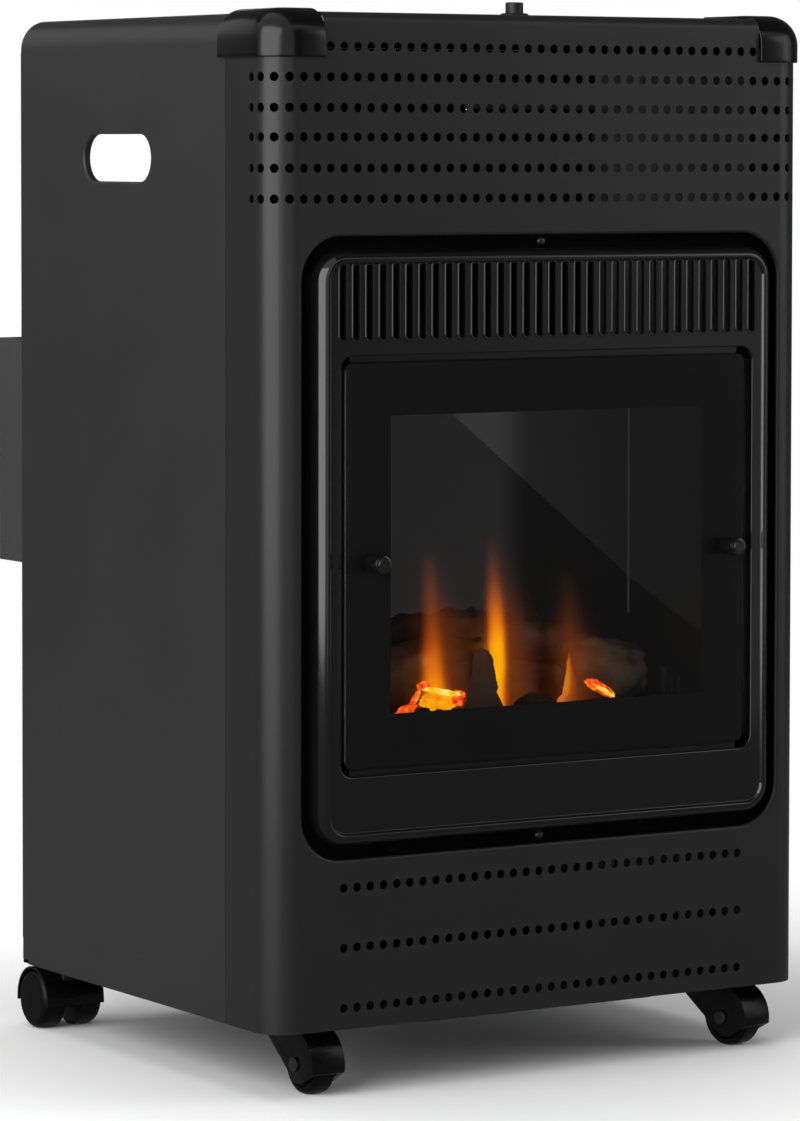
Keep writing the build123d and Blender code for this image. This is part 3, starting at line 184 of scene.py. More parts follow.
def ramp(net, value, stops):
    """Colour ramp from (position, colour) pairs."""
    made = add_node(net, "ValToRGB", {"Fac": value})
    parts = made.color_ramp.elements
    while len(parts) < len(stops):
        parts.new(0.5)
    for part, (place, colour) in zip(parts, stops):
        part.position = place
        part.color = (*colour, 1)
    return made.outputs["Color"]


def bump(net, height, strength, distance):
    """Normal that follows a height."""
    raised = {"Strength": strength, "Distance": distance, "Height": height}
    return add_node(net, "Bump", raised).outputs["Normal"]


def spread(net, value, low, high):
    """Noise, which keeps near a half, spread over a range."""
    return mapped(net, value, 0.3, 0.7, low, high)


SKIN_DEPTH = 0.0002


def coated(name, colour, roughness, peel, peel_scale, vary, specular=0.5, metallic=0.0, stretch=None,
           blotch=14.0):
    """Painted, moulded or plated surface: slight colour and gloss variation and a fine skin texture."""
    made, net, shader = tree(name)
    darker = tuple(c * (1 - vary) for c in colour)
    lighter = tuple(min(1, c * (1 + vary)) for c in colour)
    cloud = noise_node(net, blotch, 4.0, 0.6)
    fine = noise_node(net, peel_scale, 3.0, 0.6, stretch)
    feed(net, shader, {
        "Metallic": metallic,
        "Specular IOR Level": specular,
        "Base Color": ramp(net, cloud, [(0.3, darker), (0.7, lighter)]),
        "Roughness": spread(net, fine, roughness * 0.88, min(1, roughness * 1.12)),
        "Normal": bump(net, fine, peel, SKIN_DEPTH),
    })
    return made


# name, colour, roughness, then the skin's strength and scale, the variation and the specular level
powder = coated("powder_coat", (0.0108, 0.0108, 0.0109), 0.33, 0.08, 1500, 0.05, 0.25)
# painted light: the sides get a lighter copy of the front's powder coat, as the light falls on them more
lit_side_powder = coated("lit_side_powder_coat", (0.0168, 0.0168, 0.0169), 0.33, 0.08, 1500, 0.05, 0.25)
enamel = coated("gloss_enamel", (0.0035, 0.0035, 0.0036), 0.09, 0.02, 220, 0.1, 0.4)
cap_plastic = coated("cap_plastic", (0.0016, 0.0016, 0.0017), 0.21, 0.03, 1200, 0.06, 0.27)
caster_plastic = coated("caster_plastic", (0.0015, 0.0015, 0.0016), 0.28, 0.08, 900, 0.1, 0.17)
wheel_plastic = coated("wheel_plastic", (0.0014, 0.0014, 0.0015), 0.42, 0.12, 700, 0.12, 0.12)
guard_paint = coated("guard_paint", (0.030, 0.030, 0.031), 0.4, 0.08, 1500, 0.05, 0.25)
# painted shade: near-black for the groove round the insert, the strips behind the vents and the pan under the
# cabinet, where shade falls
shade_black = coated("shade_black", grey(0.0012), 0.8, 0.05, 900, 0.1, 0.03)
# painted light: pale grey for the lit inner face of the right side wall
painted_light_grey = coated("painted_light_grey", (0.22, 0.22, 0.225), 0.7, 0.05, 900, 0.1, 0.05)
sooted_fire_lit_tube = coated("sooted_fire_lit_tube", grey(0.006), 0.65, 0.1, 500, 0.1, 0.1)
lit_fold_edge = coated("lit_fold_edge", grey(0.006), 0.6, 0.1, 500, 0.1, 0.1)
# the fire lights both of these more in the photo than its lamps do here
for lit, tone in ((sooted_fire_lit_tube, 0.0056), (lit_fold_edge, 0.031)):
    light = {"Emission Color": (*grey(tone), 1), "Emission Strength": 1.0}
    feed(lit.node_tree, lit.node_tree.nodes["Principled BSDF"], light)
blackened = coated("blackened_steel", grey(0.008), 0.34, 0.08, 500, 0.1, 0.4)
knob_plastic = coated("knob_plastic", (0.009, 0.009, 0.0093), 0.4, 0.12, 1100, 0.08, 0.3)
plated = coated("zinc_plate", (0.62, 0.61, 0.58), 0.3, 0.1, 500, 0.1, metallic=1.0)
galvanised = coated("galvanised_sheet", (0.42, 0.43, 0.44), 0.42, 0.1, 60, 0.25, metallic=1.0, blotch=60)
inner_paint = coated("inner_paint", (0.020, 0.020, 0.021), 0.6, 0.2, 900, 0.1, 0.25)
fire_paint = coated("fire_paint", grey(0.012), 0.55, 0.3, 600, 0.25, 0.3)
burner_steel = coated("heat_stained_steel", (0.22, 0.18, 0.15), 0.45, 0.2, 300, 0.4, metallic=1.0, blotch=40)
brass = coated("turned_brass", (0.70, 0.50, 0.22), 0.28, 0.08, 700, 0.1, metallic=1.0)
die_cast = coated("die_cast", (0.52, 0.52, 0.53), 0.5, 0.3, 500, 0.12, metallic=1.0)
drawn_tube = coated(
    "drawn_aluminium", (0.66, 0.66, 0.67), 0.3, 0.1, 300, 0.08, metallic=1.0, stretch=(1, 1, 0.1),
)
rope = coated("glass_rope", (0.42, 0.41, 0.38), 0.9, 0.8, 1500, 0.2, 0.2)
print_black = coated("printed_border", (0.0075, 0.0075, 0.008), 0.5, 0.05, 900, 0.08, 0.1)


# ---- mesh helpers
def piece(name, verts, faces, material, slot, smooth=35.0, replaces=(), modifiers=(), body="cabinet"):
    """Mesh object in metres; modifiers are applied, then edges sharper than the angle are kept sharp."""
    mesh = bpy.data.meshes.new(name)
    mesh.from_pydata([tuple(v) for v in verts], [], faces)
    mesh.validate()
    made = bpy.data.objects.new(name, mesh)
    scene.collection.objects.link(made)
    mesh.materials.append(material)
    for kind, settings in modifiers:
        modifier = made.modifiers.new(kind, kind)
        for key, value in settings.items():
            setattr(modifier, key, value)
    if modifiers:
        bpy.context.view_layer.update()
        solid = bpy.data.meshes.new_from_object(made.evaluated_get(bpy.context.evaluated_depsgraph_get()))
        made.modifiers.clear()
        made.data = solid
        solid.name = name
    made.data.shade_smooth()
    made.data.set_sharp_from_angle(angle=math.radians(smooth))
    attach(made, body)
    if replaces:
        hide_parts(*replaces)
    return made


def solidify(thickness, offset=-1.0):
    return "SOLIDIFY", {"thickness": thickness / 1000, "offset": offset, "use_even_offset": True}


def bevel(width, segments, angle=30.0):
    return "BEVEL", {
        "width": width / 1000, "segments": segments, "limit_method": "ANGLE",
        "angle_limit": math.radians(angle), "use_clamp_overlap": True,
    }


def rounded(width, height, radius, middle, steps):
    """Points of a rounded rectangle, counter-clockwise, with the outward normal at each."""
    points = []
    for quarter, (sx, sy) in enumerate(((1, 1), (-1, 1), (-1, -1), (1, -1))):
        cx = middle[0] + sx * (width / 2 - radius)
        cy = middle[1] + sy * (height / 2 - radius)
        for step in range(steps + 1):
            angle = quarter * pi / 2 + step / steps * pi / 2
            points.append((cx + radius * cos(angle), cy + radius * sin(angle), cos(angle), sin(angle)))
    return points


def rolled_edge(radius):
    """Quarter round from the face of a sheet into its hole, as (outward offset, depth) pairs."""
    return [(radius * (1 - sin(a)), radius * (1 - cos(a))) for a in (k * pi / 12 for k in range(7))]


def round_end(width):
    """Radius that makes the ends of a slot round, and leaves a trace of straight edge for the mesh."""
    return width / 2 - 0.01


def ring_sweep(path, profile, to_point):
    """Surface swept round a closed path: profile is (outward offset, depth) pairs."""
    verts, faces = [], []
    rows = len(profile)
    for x, y, nx, ny in path:
        for offset, depth in profile:
            verts.append(to_point(x + nx * offset, y + ny * offset, depth))
    for i in range(len(path)):
        j = (i + 1) % len(path)
        for k in range(rows - 1):
            faces.append((i * rows + k, i * rows + k + 1, j * rows + k + 1, j * rows + k))
    return verts, faces


def facing(faces, side):
    """Faces as they are on the right side, turned over on the left."""
    return faces if side > 0 else [tuple(reversed(face)) for face in faces]


def tube_faces(rows, around):
    """Faces of a tube whose points are rows of rings."""
    faces = []
    for i in range(rows - 1):
        for k in range(around):
            n = (k + 1) % around
            faces.append((i * around + k, i * around + n, (i + 1) * around + n, (i + 1) * around + k))
    return faces


def read_out(shape):
    """Points and faces of a bmesh, which is freed."""
    shape.verts.index_update()
    verts = [vertex.co.copy() for vertex in shape.verts]
    faces = [tuple(vertex.index for vertex in face.verts) for face in shape.faces]
    shape.free()
    return verts, faces


def plate(name, width, height, paint):
    """Plain rectangle about its own middle."""
    w, h = width / 2, height / 2
    mesh = bpy.data.meshes.new(name)
    mesh.from_pydata([(-w, -h, 0), (w, -h, 0), (w, h, 0), (-w, h, 0)], [], [(0, 1, 2, 3)])
    mesh.materials.append(paint)
    made = bpy.data.objects.new(name, mesh)
    scene.collection.objects.link(made)
    return made


def join(*parts):
    """One list of vertices and faces from several."""
    verts, faces = [], []
    for more_verts, more_faces in parts:
        base = len(verts)
        verts += list(more_verts)
        faces += [tuple(base + index for index in face) for face in more_faces]
    return verts, faces


def encloses(loop, x, y):
    """Whether a point lies inside a closed loop."""
    inside = False
    for (x0, y0), (x1, y1) in zip(loop, loop[1:] + loop[:1]):
        if (y0 > y) != (y1 > y) and x < x0 + (x1 - x0) * (y - y0) / (y1 - y0):
            inside = not inside
    return inside


VENT_R, VENT_SIDES = 3.0, 20
INSIDE_VENT = 0.985            # share of a vent's radius that lies within all its sides


def sheet_with_holes(outline, holes, lines=(), vents=()):
    """Flat triangulated sheet that follows its loops, its vents and the lines of its bends exactly."""
    loops = [[Vector(p[:2]) for p in loop] for loop in [outline] + holes]
    angles = [2 * pi * k / VENT_SIDES for k in range(VENT_SIDES)]
    rings = [[(x + VENT_R * cos(a), y + VENT_R * sin(a)) for a in angles] for x, y in vents]
    points, edges = [], []
    for loop in loops + rings:
        base = len(points)
        points += [Vector(p) for p in loop]
        edges += [(base + i, base + (i + 1) % len(loop)) for i in range(len(loop))]
    for line in lines:
        edges.append((len(points), len(points) + 1))
        points += [Vector(end) for end in line]
    flat, _, faces, *_ = delaunay_2d_cdt(points, edges, [], 0, 1e-5)
    kept = []
    for face in faces:
        x, y = sum((flat[i] for i in face), Vector((0, 0))) / len(face)
        if not encloses(loops[0], x, y) or any(encloses(hole, x, y) for hole in loops[1:]):
            continue
        if not any(math.hypot(x - vx, y - vy) < VENT_R * INSIDE_VENT for vx, vy in vents):
            kept.append(tuple(face))
    return flat, kept


# ---- front shell: one perforated sheet, bent
VENT_PITCH = 10.0
VENT_ROWS = [(34, 674.0)]
VENT_ROWS += [(46, z) for z in (577.0, 596.5, 616.3, 635.0, 654.5)]
VENT_ROWS += [(32, z) for z in (57.7, 96.5, 135.3)]
VENTS = [((k - (count - 1) / 2) * VENT_PITCH, z) for count, z in VENT_ROWS for k in range(count)]
EDGE_RUN = FLAT + BEND_RUN + SEAM - BEND
CAP_JOINT = HALF - CAP_FRONT - JOINT_GAP
ROLL_START = TOP - FRONT_ROLL
ROLL_RUN = FRONT_ROLL * pi / 2
FOLD_R = 2.0                   # small bend at folded edges
OPEN_STEPS = 14


def shell_point(run, height):
    """Point of the bent sheet from its flat pattern."""
    side = 1 if run > 0 else -1
    past = abs(run) - FLAT
    if past <= 0:
        x, d = run, 0.0
    elif past <= BEND_RUN:
        x, d = side * (FLAT + BEND * sin(past / BEND)), BEND * (1 - cos(past / BEND))
    else:
        x, d = side * HALF, BEND + past - BEND_RUN
    over = height - ROLL_START
    if over <= 0:
        return at(x, d, height)
    if over <= ROLL_RUN:
        angle = over / FRONT_ROLL
        return at(x, FRONT_ROLL * (1 - cos(angle)), ROLL_START + FRONT_ROLL * sin(angle))
    return at(x, FRONT_ROLL + over - ROLL_RUN, TOP)


def build_front_shell():
    """Casing's front: the perforated sheet, and the edge and depth of its opening."""
    top_end = ROLL_START + ROLL_RUN + FRONT_ROLL
    outline = [
        (-EDGE_RUN, BOTTOM), (EDGE_RUN, BOTTOM), (EDGE_RUN, SHELL_TOP), (CAP_JOINT, SHELL_TOP),
        (CAP_JOINT, top_end), (-CAP_JOINT, top_end), (-CAP_JOINT, SHELL_TOP), (-EDGE_RUN, SHELL_TOP),
    ]
    opening = rounded(
        OPEN_W + 2 * FOLD_R, OPEN_H + 2 * FOLD_R, OPEN_R + FOLD_R, (0, OPEN_MID), OPEN_STEPS,
    )
    lines = []
    for side in (-1, 1):
        for step in range(17):
            run = side * (FLAT + BEND_RUN * step / 16)
            lines.append(((run, BOTTOM), (run, SHELL_TOP)))
    for step in range(9):
        height = ROLL_START + ROLL_RUN * step / 8
        lines.append(((-CAP_JOINT, height), (CAP_JOINT, height)))
    flat, faces = sheet_with_holes(outline, [opening], lines, VENTS)
    verts = [shell_point(p.x, p.y) for p in flat]
    piece(
        "front_shell_sheet", verts, faces, powder, "casing", 40, ("front_shell",),
        modifiers=(solidify(SHEET),),
    )
    path = rounded(OPEN_W, OPEN_H, OPEN_R, (0, OPEN_MID), OPEN_STEPS)
    wall = [(0.0, FOLD_R), (0.0, FLANGE_FRONT), (SHEET, FLANGE_FRONT), (SHEET, FOLD_R)]
    piece("opening_edge", *ring_sweep(path, rolled_edge(FOLD_R), on_front), powder, "casing", 50)
    # painted shade: the wall of the opening is near-black for the shade in the groove
    piece("opening_wall", *ring_sweep(path, wall, on_front), shade_black, "casing", 50)


build_front_shell()


def bar(name, x0, x1, d0, d1, z0, z1, material, width=0.2, slot="casing"):
    """Plain strip of sheet inside the cabinet, between two corners in millimetres."""
    corners = [at(x, d, z) for x in (x0, x1) for d in (d0, d1) for z in (z0, z1)]
    faces = [(0, 1, 3, 2), (4, 6, 7, 5), (0, 4, 5, 1), (2, 3, 7, 6), (0, 2, 6, 4), (1, 5, 7, 3)]
    piece(name, corners, faces, material, slot, 30, modifiers=(bevel(width, 2),))


# folded strip under the top: its bare edge shows as a light line through the left vents of the top row
STRIP_END, STRIP_EDGE = -17.0, 673.2
# painted shade: the near-black strips stand for the shade behind the vents
bar("top_strip_left", -188, STRIP_END, 9.0, 10.2, STRIP_EDGE, 690, shade_black)
bar("top_strip_edge", -188, STRIP_END, 8.9, 10.3, STRIP_EDGE - 0.55, STRIP_EDGE, plated, 0.25)
bar("top_strip_hem", -188, STRIP_END, 13.0, 14.2, 664, 690, shade_black)
bar("top_strip_right", STRIP_END + 1, 188, 9.0, 10.2, 664, 690, shade_black)
# painted light: a pale sheet inside the right side stands for the light on its inner face seen through the
# vents
bar("side_light_sheet", 206.2, 207.2, 62, 108, 80, 660, painted_light_grey)
# painted shade: a near-black strip behind the lowest row of vents
bar("low_strip", -188, 188, 6.0, 7.2, 52, 64, shade_black)


# ---- side panels: rolled top, fold, grip hole
GRIP_MID, GRIP_Z, GRIP_L, GRIP_H = 157.5 + 46.0, 602.5, 92.0, 31.5
COLLAR_R, COLLAR_DEEP = 1.6, 5.0
SIDE_START = SEAM + JOINT_GAP
ROLL_TOP_RUN = ROLL * pi / 2
REAR_R = 2.0                   # bend at the sides' rear edge
REAR_RUN = REAR_R * pi / 2
REAR_FOLD = 18.0               # width of the fold that follows it
FOLD_TOP = SHELL_TOP - 2
NOTCH_LONG, NOTCH_HIGH = 10.0, 3.0                 # cut from the sides' lower rear corner
HOOK_IN, HOOK_HALF, HOOK_TALL = 9.0, 1.7, 21       # slots of the bottle guard's hooks, in the fold
HOOK_LEVELS = (346.0, 438.0)


def side_point(side, run, height):
    """Point of a side panel from its flat pattern: run goes back, height goes up and over the roll."""
    bend = DEPTH - REAR_R
    if run <= bend:
        d, inward = run, 0.0
    elif run <= bend + REAR_RUN:
        angle = (run - bend) / REAR_R
        d, inward = bend + REAR_R * sin(angle), REAR_R * (1 - cos(angle))
    else:
        d, inward = DEPTH, REAR_R + run - bend - REAR_RUN
    over = height - SHELL_TOP
    if over <= 0:
        return at(side * (HALF - inward), d, height)
    if over <= ROLL_TOP_RUN:
        angle = over / ROLL
        return at(side * (HALF - ROLL * (1 - cos(angle))), d, SHELL_TOP + ROLL * sin(angle))
    return at(side * (HALF - ROLL - (over - ROLL_TOP_RUN)), d, TOP)


def build_side(side, name):
    """Side panel with the collar of its grip hole and the trim along its seam."""
    flat_end = DEPTH - REAR_R
    top_end = SHELL_TOP + ROLL_TOP_RUN + 6.0
    fold_end = flat_end + REAR_RUN + REAR_FOLD
    notch_run, notch_top = DEPTH - NOTCH_LONG, BOTTOM + NOTCH_HIGH
    outline = [
        (SIDE_START, BOTTOM), (notch_run, BOTTOM), (notch_run, notch_top), (flat_end, notch_top),
        (flat_end, LOW_EDGE), (fold_end, LOW_EDGE), (fold_end, FOLD_TOP), (flat_end, FOLD_TOP),
        (flat_end, top_end), (SIDE_START, top_end),
    ]
    length, height = GRIP_L + 2 * COLLAR_R, GRIP_H + 2 * COLLAR_R
    grip = rounded(length, height, round_end(height), (GRIP_MID, GRIP_Z), 10)
    hook_run = fold_end - HOOK_IN
    first, last = hook_run - HOOK_HALF, hook_run + HOOK_HALF
    hooks = []
    for low in HOOK_LEVELS:
        hooks.append([(first, low), (last, low), (last, low + HOOK_TALL), (first, low + HOOK_TALL)])
    lines = []
    for step in range(17):
        t = SHELL_TOP + ROLL_TOP_RUN * step / 16
        lines.append(((SIDE_START, t), (flat_end, t)))
    for step in range(7):
        run = flat_end + REAR_RUN * step / 6
        lines.append(((run, LOW_EDGE), (run, FOLD_TOP)))
    flat, faces = sheet_with_holes(outline, [grip] + hooks, lines)
    piece(
        "side_sheet_" + name, [side_point(side, p.x, p.y) for p in flat], facing(faces, side), lit_side_powder,
        "casing", 40, ("side_panel_" + name,), (solidify(SHEET),),
    )
    path = rounded(GRIP_L, GRIP_H, round_end(GRIP_H), (GRIP_MID, GRIP_Z), 10)
    profile = rolled_edge(COLLAR_R) + [(0.0, COLLAR_DEEP), (SHEET, COLLAR_DEEP), (SHEET, COLLAR_R)]
    verts, faces = ring_sweep(path, profile, lambda d, z, deep: at(side * (HALF - deep), d, z))
    piece("grip_collar_" + name, verts, facing(faces, side), lit_side_powder, "casing", 50)
    # hemmed edge of the side panel at the seam
    edges = sorted((side * (HALF - 0.6), side * (HALF + 0.15)))
    bar("seam_bead_" + name, *edges, SEAM + 0.4, SEAM + 1.3, LOW_EDGE, HIGH_EDGE, lit_side_powder, 0.3)
    # strip tucked behind the front shell
    near, far = SEAM - 9, SIDE_START + 10
    strip = []
    for x in (HALF - SHEET - 0.02, HALF - 2 * SHEET):
        for d, z in ((near, LOW_EDGE), (far, LOW_EDGE), (far, HIGH_EDGE), (near, HIGH_EDGE)):
            strip.append(at(side * x, d, z))
    faces = [(0, 1, 2, 3), (7, 6, 5, 4), (0, 4, 5, 1), (1, 5, 6, 2), (2, 6, 7, 3), (3, 7, 4, 0)]
    piece("lap_strip_" + name, strip, faces, inner_paint, "casing", 30, modifiers=(bevel(0.3, 2),))


build_side(-1, "left")
build_side(1, "right")


# ---- moulded caps on the upper front corners
CAP_WALL, CAP_TOP, CAP_R, CAP_LOW = 2.8, 2.5, 20.0, TOP - 29.0
CAP_SKIN = 2.4


def build_cap(side, name):
    """Corner cap as one skin: rounded over along its top, thickened inwards."""
    corner = BEND + CAP_WALL
    path = [(HALF - CAP_FRONT, -CAP_WALL, 0.0, -1.0), (HALF - BEND, -CAP_WALL, 0.0, -1.0)]
    for step in range(1, 20):
        a = step / 20 * pi / 2
        path.append((HALF - BEND + corner * sin(a), BEND - corner * cos(a), sin(a), -cos(a)))
    path += [(HALF + CAP_WALL, BEND, 1.0, 0.0), (HALF + CAP_WALL, CAP_SIDE, 1.0, 0.0)]
    top = TOP + CAP_TOP
    rows = [(0.0, CAP_LOW), (0.0, CAP_LOW + 3), (0.0, (CAP_LOW + top - CAP_R) / 2)]
    rows += [(CAP_R * (1 - cos(k * pi / 24)), top - CAP_R + CAP_R * sin(k * pi / 24)) for k in range(13)]
    verts, faces = [], []
    for x, d, nx, nd in path:
        for inward, z in rows:
            verts.append(at(side * (x - nx * inward), d - nd * inward, z))
    count = len(rows)
    for i in range(len(path) - 1):
        for k in range(count - 1):
            quad = (i * count + k, (i + 1) * count + k, (i + 1) * count + k + 1, i * count + k + 1)
            faces.append(quad if side > 0 else tuple(reversed(quad)))
    crown = [i * count + count - 1 for i in range(len(path))]
    verts.append(at(side * (HALF - CAP_FRONT), CAP_SIDE, top))
    inner = len(verts) - 1
    for a, b in zip(crown, crown[1:]):
        faces.append((inner, a, b) if side > 0 else (inner, b, a))
    piece(
        "corner_cap_" + name[0], verts, faces, cap_plastic, "caps", 32, ("corner_cap_" + name,),
        (solidify(CAP_SKIN), bevel(0.7, 3, 40)),
    )


build_cap(-1, "left")
build_cap(1, "right")


# ---- pressed insert round the fire
INS_W, INS_H, INS_R = OPEN_W - 2 * TRENCH, OPEN_H - 2 * TRENCH, OPEN_R - TRENCH
FIELD, CREST = -6.0, -8.0      # depths of the insert's flat field and of the crest of its rim
RIM_IN, RIM_DEEP, RIM_FOOT = 7.0, 12.0, 4.0
RIM_END = 7.4
INSET = 9.5                    # from the insert's edge to its field
GLASS_W, GLASS_LOW, GLASS_HIGH, GLASS_R = 314.0, 211.0, 473.0, 5.0
GLASS_MID, GLASS_H = (GLASS_LOW + GLASS_HIGH) / 2, GLASS_HIGH - GLASS_LOW
GLASS_FRONT, GLASS_THICK, GROUND = FIELD - 0.8, 4.0, 0.7
GAP = 4.0                      # between the glass and its recess
SLOTS, SLOT_PITCH, SLOT_W, SLOT_L, SLOT_Z = 33, 10.0, 4.5, 49.0, 511.5
LIP, LIP_H = 1.3, 0.9
PIT_EDGE, PIT_R = 0.9, 9.0
LEDGE, LEDGE_END = -0.8, 0.7
WINDOW_W, WINDOW_H, WINDOW_R = 244.0, 192.0, 0.8


def build_insert():
    """Insert: its flange, and as one piece its rim, field, lipped air slots and the recess of the glass."""
    profile = [(0.0, RIM_END)]
    for k in range(15):
        t = pi / 2 * k / 14
        profile.append((-RIM_IN * (1 - cos(t)), RIM_FOOT - RIM_DEEP * sin(t)))
    profile += [
        (-RIM_IN - 0.7, CREST + 0.12), (-RIM_IN - 1.3, CREST + 0.75), (-RIM_IN - 1.8, FIELD - 0.35),
        (-INSET, FIELD),
    ]
    path = rounded(INS_W, INS_H, INS_R, (0, OPEN_MID), 16)
    parts = [ring_sweep(path, profile, on_front)]
    flange = [(12.0, FLANGE_BACK), (12.0, FLANGE_FRONT), (0.6, FLANGE_FRONT), (0.0, RIM_END)]
    # painted shade: the flange in the groove is near-black for the shade there
    piece("insert_flange", *ring_sweep(path, flange, on_front), shade_black, "insert", 38)
    outline = [(x - nx * INSET, z - nz * INSET) for x, z, nx, nz in path]
    slot_xs = [(k - (SLOTS - 1) / 2) * SLOT_PITCH for k in range(SLOTS)]
    lip_w, lip_l = SLOT_W + 2 * LIP, SLOT_L + 2 * LIP
    slots = [rounded(lip_w, lip_l, round_end(lip_w), (x, SLOT_Z), 6) for x in slot_xs]
    pit_w, pit_h = GLASS_W + 2 * GAP, GLASS_H + 2 * GAP
    pit = rounded(pit_w + 2 * PIT_EDGE, pit_h + 2 * PIT_EDGE, PIT_R + PIT_EDGE, (0, GLASS_MID), 8)
    flat, faces = sheet_with_holes(outline, slots + [pit])
    parts.append(([at(p.x, FIELD, p.y) for p in flat], faces))
    bead = [
        (LIP, 0.0), (LIP * 0.86, -LIP_H * 0.55), (LIP * 0.62, -LIP_H * 0.92), (LIP * 0.36, -LIP_H),
        (LIP * 0.12, -LIP_H * 0.84), (0.0, -LIP_H * 0.45), (-0.05, 0.0), (-0.05, 2.2), (0.6, 2.2), (0.6, 0.4),
    ]

    def on_field(x, z, depth):
        return at(x, FIELD + depth, z)

    for x in slot_xs:
        ring = rounded(SLOT_W, SLOT_L, round_end(SLOT_W), (x, SLOT_Z), 6)
        parts.append(ring_sweep(ring, bead, on_field))
    # recess for the glass: rounded edge, wall and ledge
    ledge_in = -(pit_w - WINDOW_W - 6) / 2
    step = [
        (PIT_EDGE, 0.0), (PIT_EDGE * 0.5, 0.12), (PIT_EDGE * 0.13, 0.45), (0.0, PIT_EDGE),
        (0.0, LEDGE - FIELD), (ledge_in, LEDGE - FIELD), (ledge_in, LEDGE_END - FIELD),
    ]
    parts.append(ring_sweep(rounded(pit_w, pit_h, PIT_R, (0, GLASS_MID), 8), step, on_field))
    piece("insert_pressing", *join(*parts), enamel, "insert", 38, ("insert_panel",))


build_insert()


def build_glass():
    """Glass with a ground edge; the opaque print is a thin layer on its back."""
    path = rounded(GLASS_W, GLASS_H, GLASS_R, (0, GLASS_MID), 8)
    back = GLASS_FRONT + GLASS_THICK
    profile = [(-GROUND, 0.0), (0.0, GROUND), (0.0, GLASS_THICK - GROUND), (-GROUND, GLASS_THICK)]
    band = ring_sweep(path, profile, lambda x, z, d: at(x, GLASS_FRONT + d, z))
    outline = [(x - nx * GROUND, z - nz * GROUND) for x, z, nx, nz in path]
    order = tuple(range(len(outline)))
    face_front = ([at(x, GLASS_FRONT, z) for x, z in outline], [order])
    face_back = ([at(x, back, z) for x, z in outline], [order[::-1]])
    made, net = bare_tree("toughened_glass")
    clear = add_node(net, "BsdfTransparent", {"Color": (*grey(0.80), 1)})
    gloss = add_node(net, "BsdfGlossy", {"Roughness": 0.03})
    show_mix(net, add_node(net, "Fresnel", {"IOR": 1.10}).outputs["Fac"], clear, gloss)
    piece("glass_pane", *join(band, face_front, face_back), made, "glass", 30, ("glass_panel",))
    window = rounded(WINDOW_W, WINDOW_H, WINDOW_R, (0, GLASS_MID), 3)
    outline = [(x - nx * 1.2, z - nz * 1.2) for x, z, nx, nz in path]
    flat, faces = sheet_with_holes(outline, [window])
    print_place = [at(p.x, back - 0.3, p.y) for p in flat]
    piece("glass_print", print_place, faces, print_black, "glass", modifiers=(solidify(0.2, 0.0),))


build_glass()


def turned(name, profile, x, end, z, *rest):
    """Solid of revolution that points to the back: (radius, length) pairs and the place of its back end."""
    steps = 32
    axis = Vector((0, 1, 0))
    side = axis.orthogonal().normalized()
    other = axis.cross(side)
    origin = at(x, end - profile[-1][1], z)
    verts = []
    for radius, length in profile:
        for k in range(steps):
            a = 2 * pi * k / steps
            way = side * cos(a) + other * sin(a)
            verts.append(origin + axis * length / 1000 + way * radius / 1000)
    faces = tube_faces(len(profile), steps)
    faces.append(tuple(reversed(range(steps))))
    faces.append(tuple((len(profile) - 1) * steps + k for k in range(steps)))
    piece(name, verts, faces, *rest)


STUD_PROFILE = [
    (0.01, 0.0), (3.6, 0.0), (4.0, 0.25), (4.15, 0.5), (5.2, 0.55), (5.7, 0.8), (6.0, 1.4), (6.0, 15.0),
    (5.6, 16.0), (5.6, 16.5),
]
STUD_X, STUD_Z = 139.0, 344.0
for x, name in ((-STUD_X, "left"), (STUD_X, "right")):
    turned("stud_" + name, STUD_PROFILE, x, GLASS_FRONT, STUD_Z, enamel, "studs", 30, ("glass_studs",))
SCREW_PROFILE = [(0.01, 0.0), (1.2, 0.05), (2.4, 0.45), (3.1, 1.1), (3.4, 2.2)]
for z, name in ((OPEN_LOW + TRENCH / 2, "low"), (OPEN_HIGH - TRENCH / 2, "high")):
    turned(
        "screw_" + name, SCREW_PROFILE, 0, FLANGE_FRONT, z, blackened, "plated_steel", 50, ("insert_screws",),
    )


# ---- casters, knob, igniter and inner pieces
BODIES = frame["record"]["behaviour"]["bodies"]
BODY_OF = {node: body for body, members in BODIES.items() for node in members}
SLOT_OF = {row["node"]: row["material_slot"] for row in frame["record"]["subparts"]}


def dressed(node, material, width, segments=2, smooth=35.0):
    """Copy of a CAD node with its flat faces joined, its edges softened and a finish of its own."""
    source = nodes[node]
    shape = bmesh.new()
    shape.from_mesh(source.data)
    shape.transform(source.matrix_world)
    bmesh.ops.remove_doubles(shape, verts=shape.verts, dist=1e-6)
    bmesh.ops.dissolve_limit(shape, angle_limit=math.radians(0.4), verts=shape.verts, edges=shape.edges)
    bmesh.ops.recalc_face_normals(shape, faces=shape.faces)
    piece(
        node + "_dressed", *read_out(shape), material, SLOT_OF[node], smooth, (node,),
        (bevel(width, segments),), BODY_OF[node],
    )


def painted(node, material):
    """Finish for a CAD node that is shown as it is."""
    mesh = nodes[node].data
    mesh.materials.clear()
    mesh.materials.append(material)


SHIELD_SHADE_END = 0.117            # where the heat shield's painted shade ends and its painted light begins, in metres
WALL_SHIFT = 200               # makes every place on a wall positive, as a ramp needs


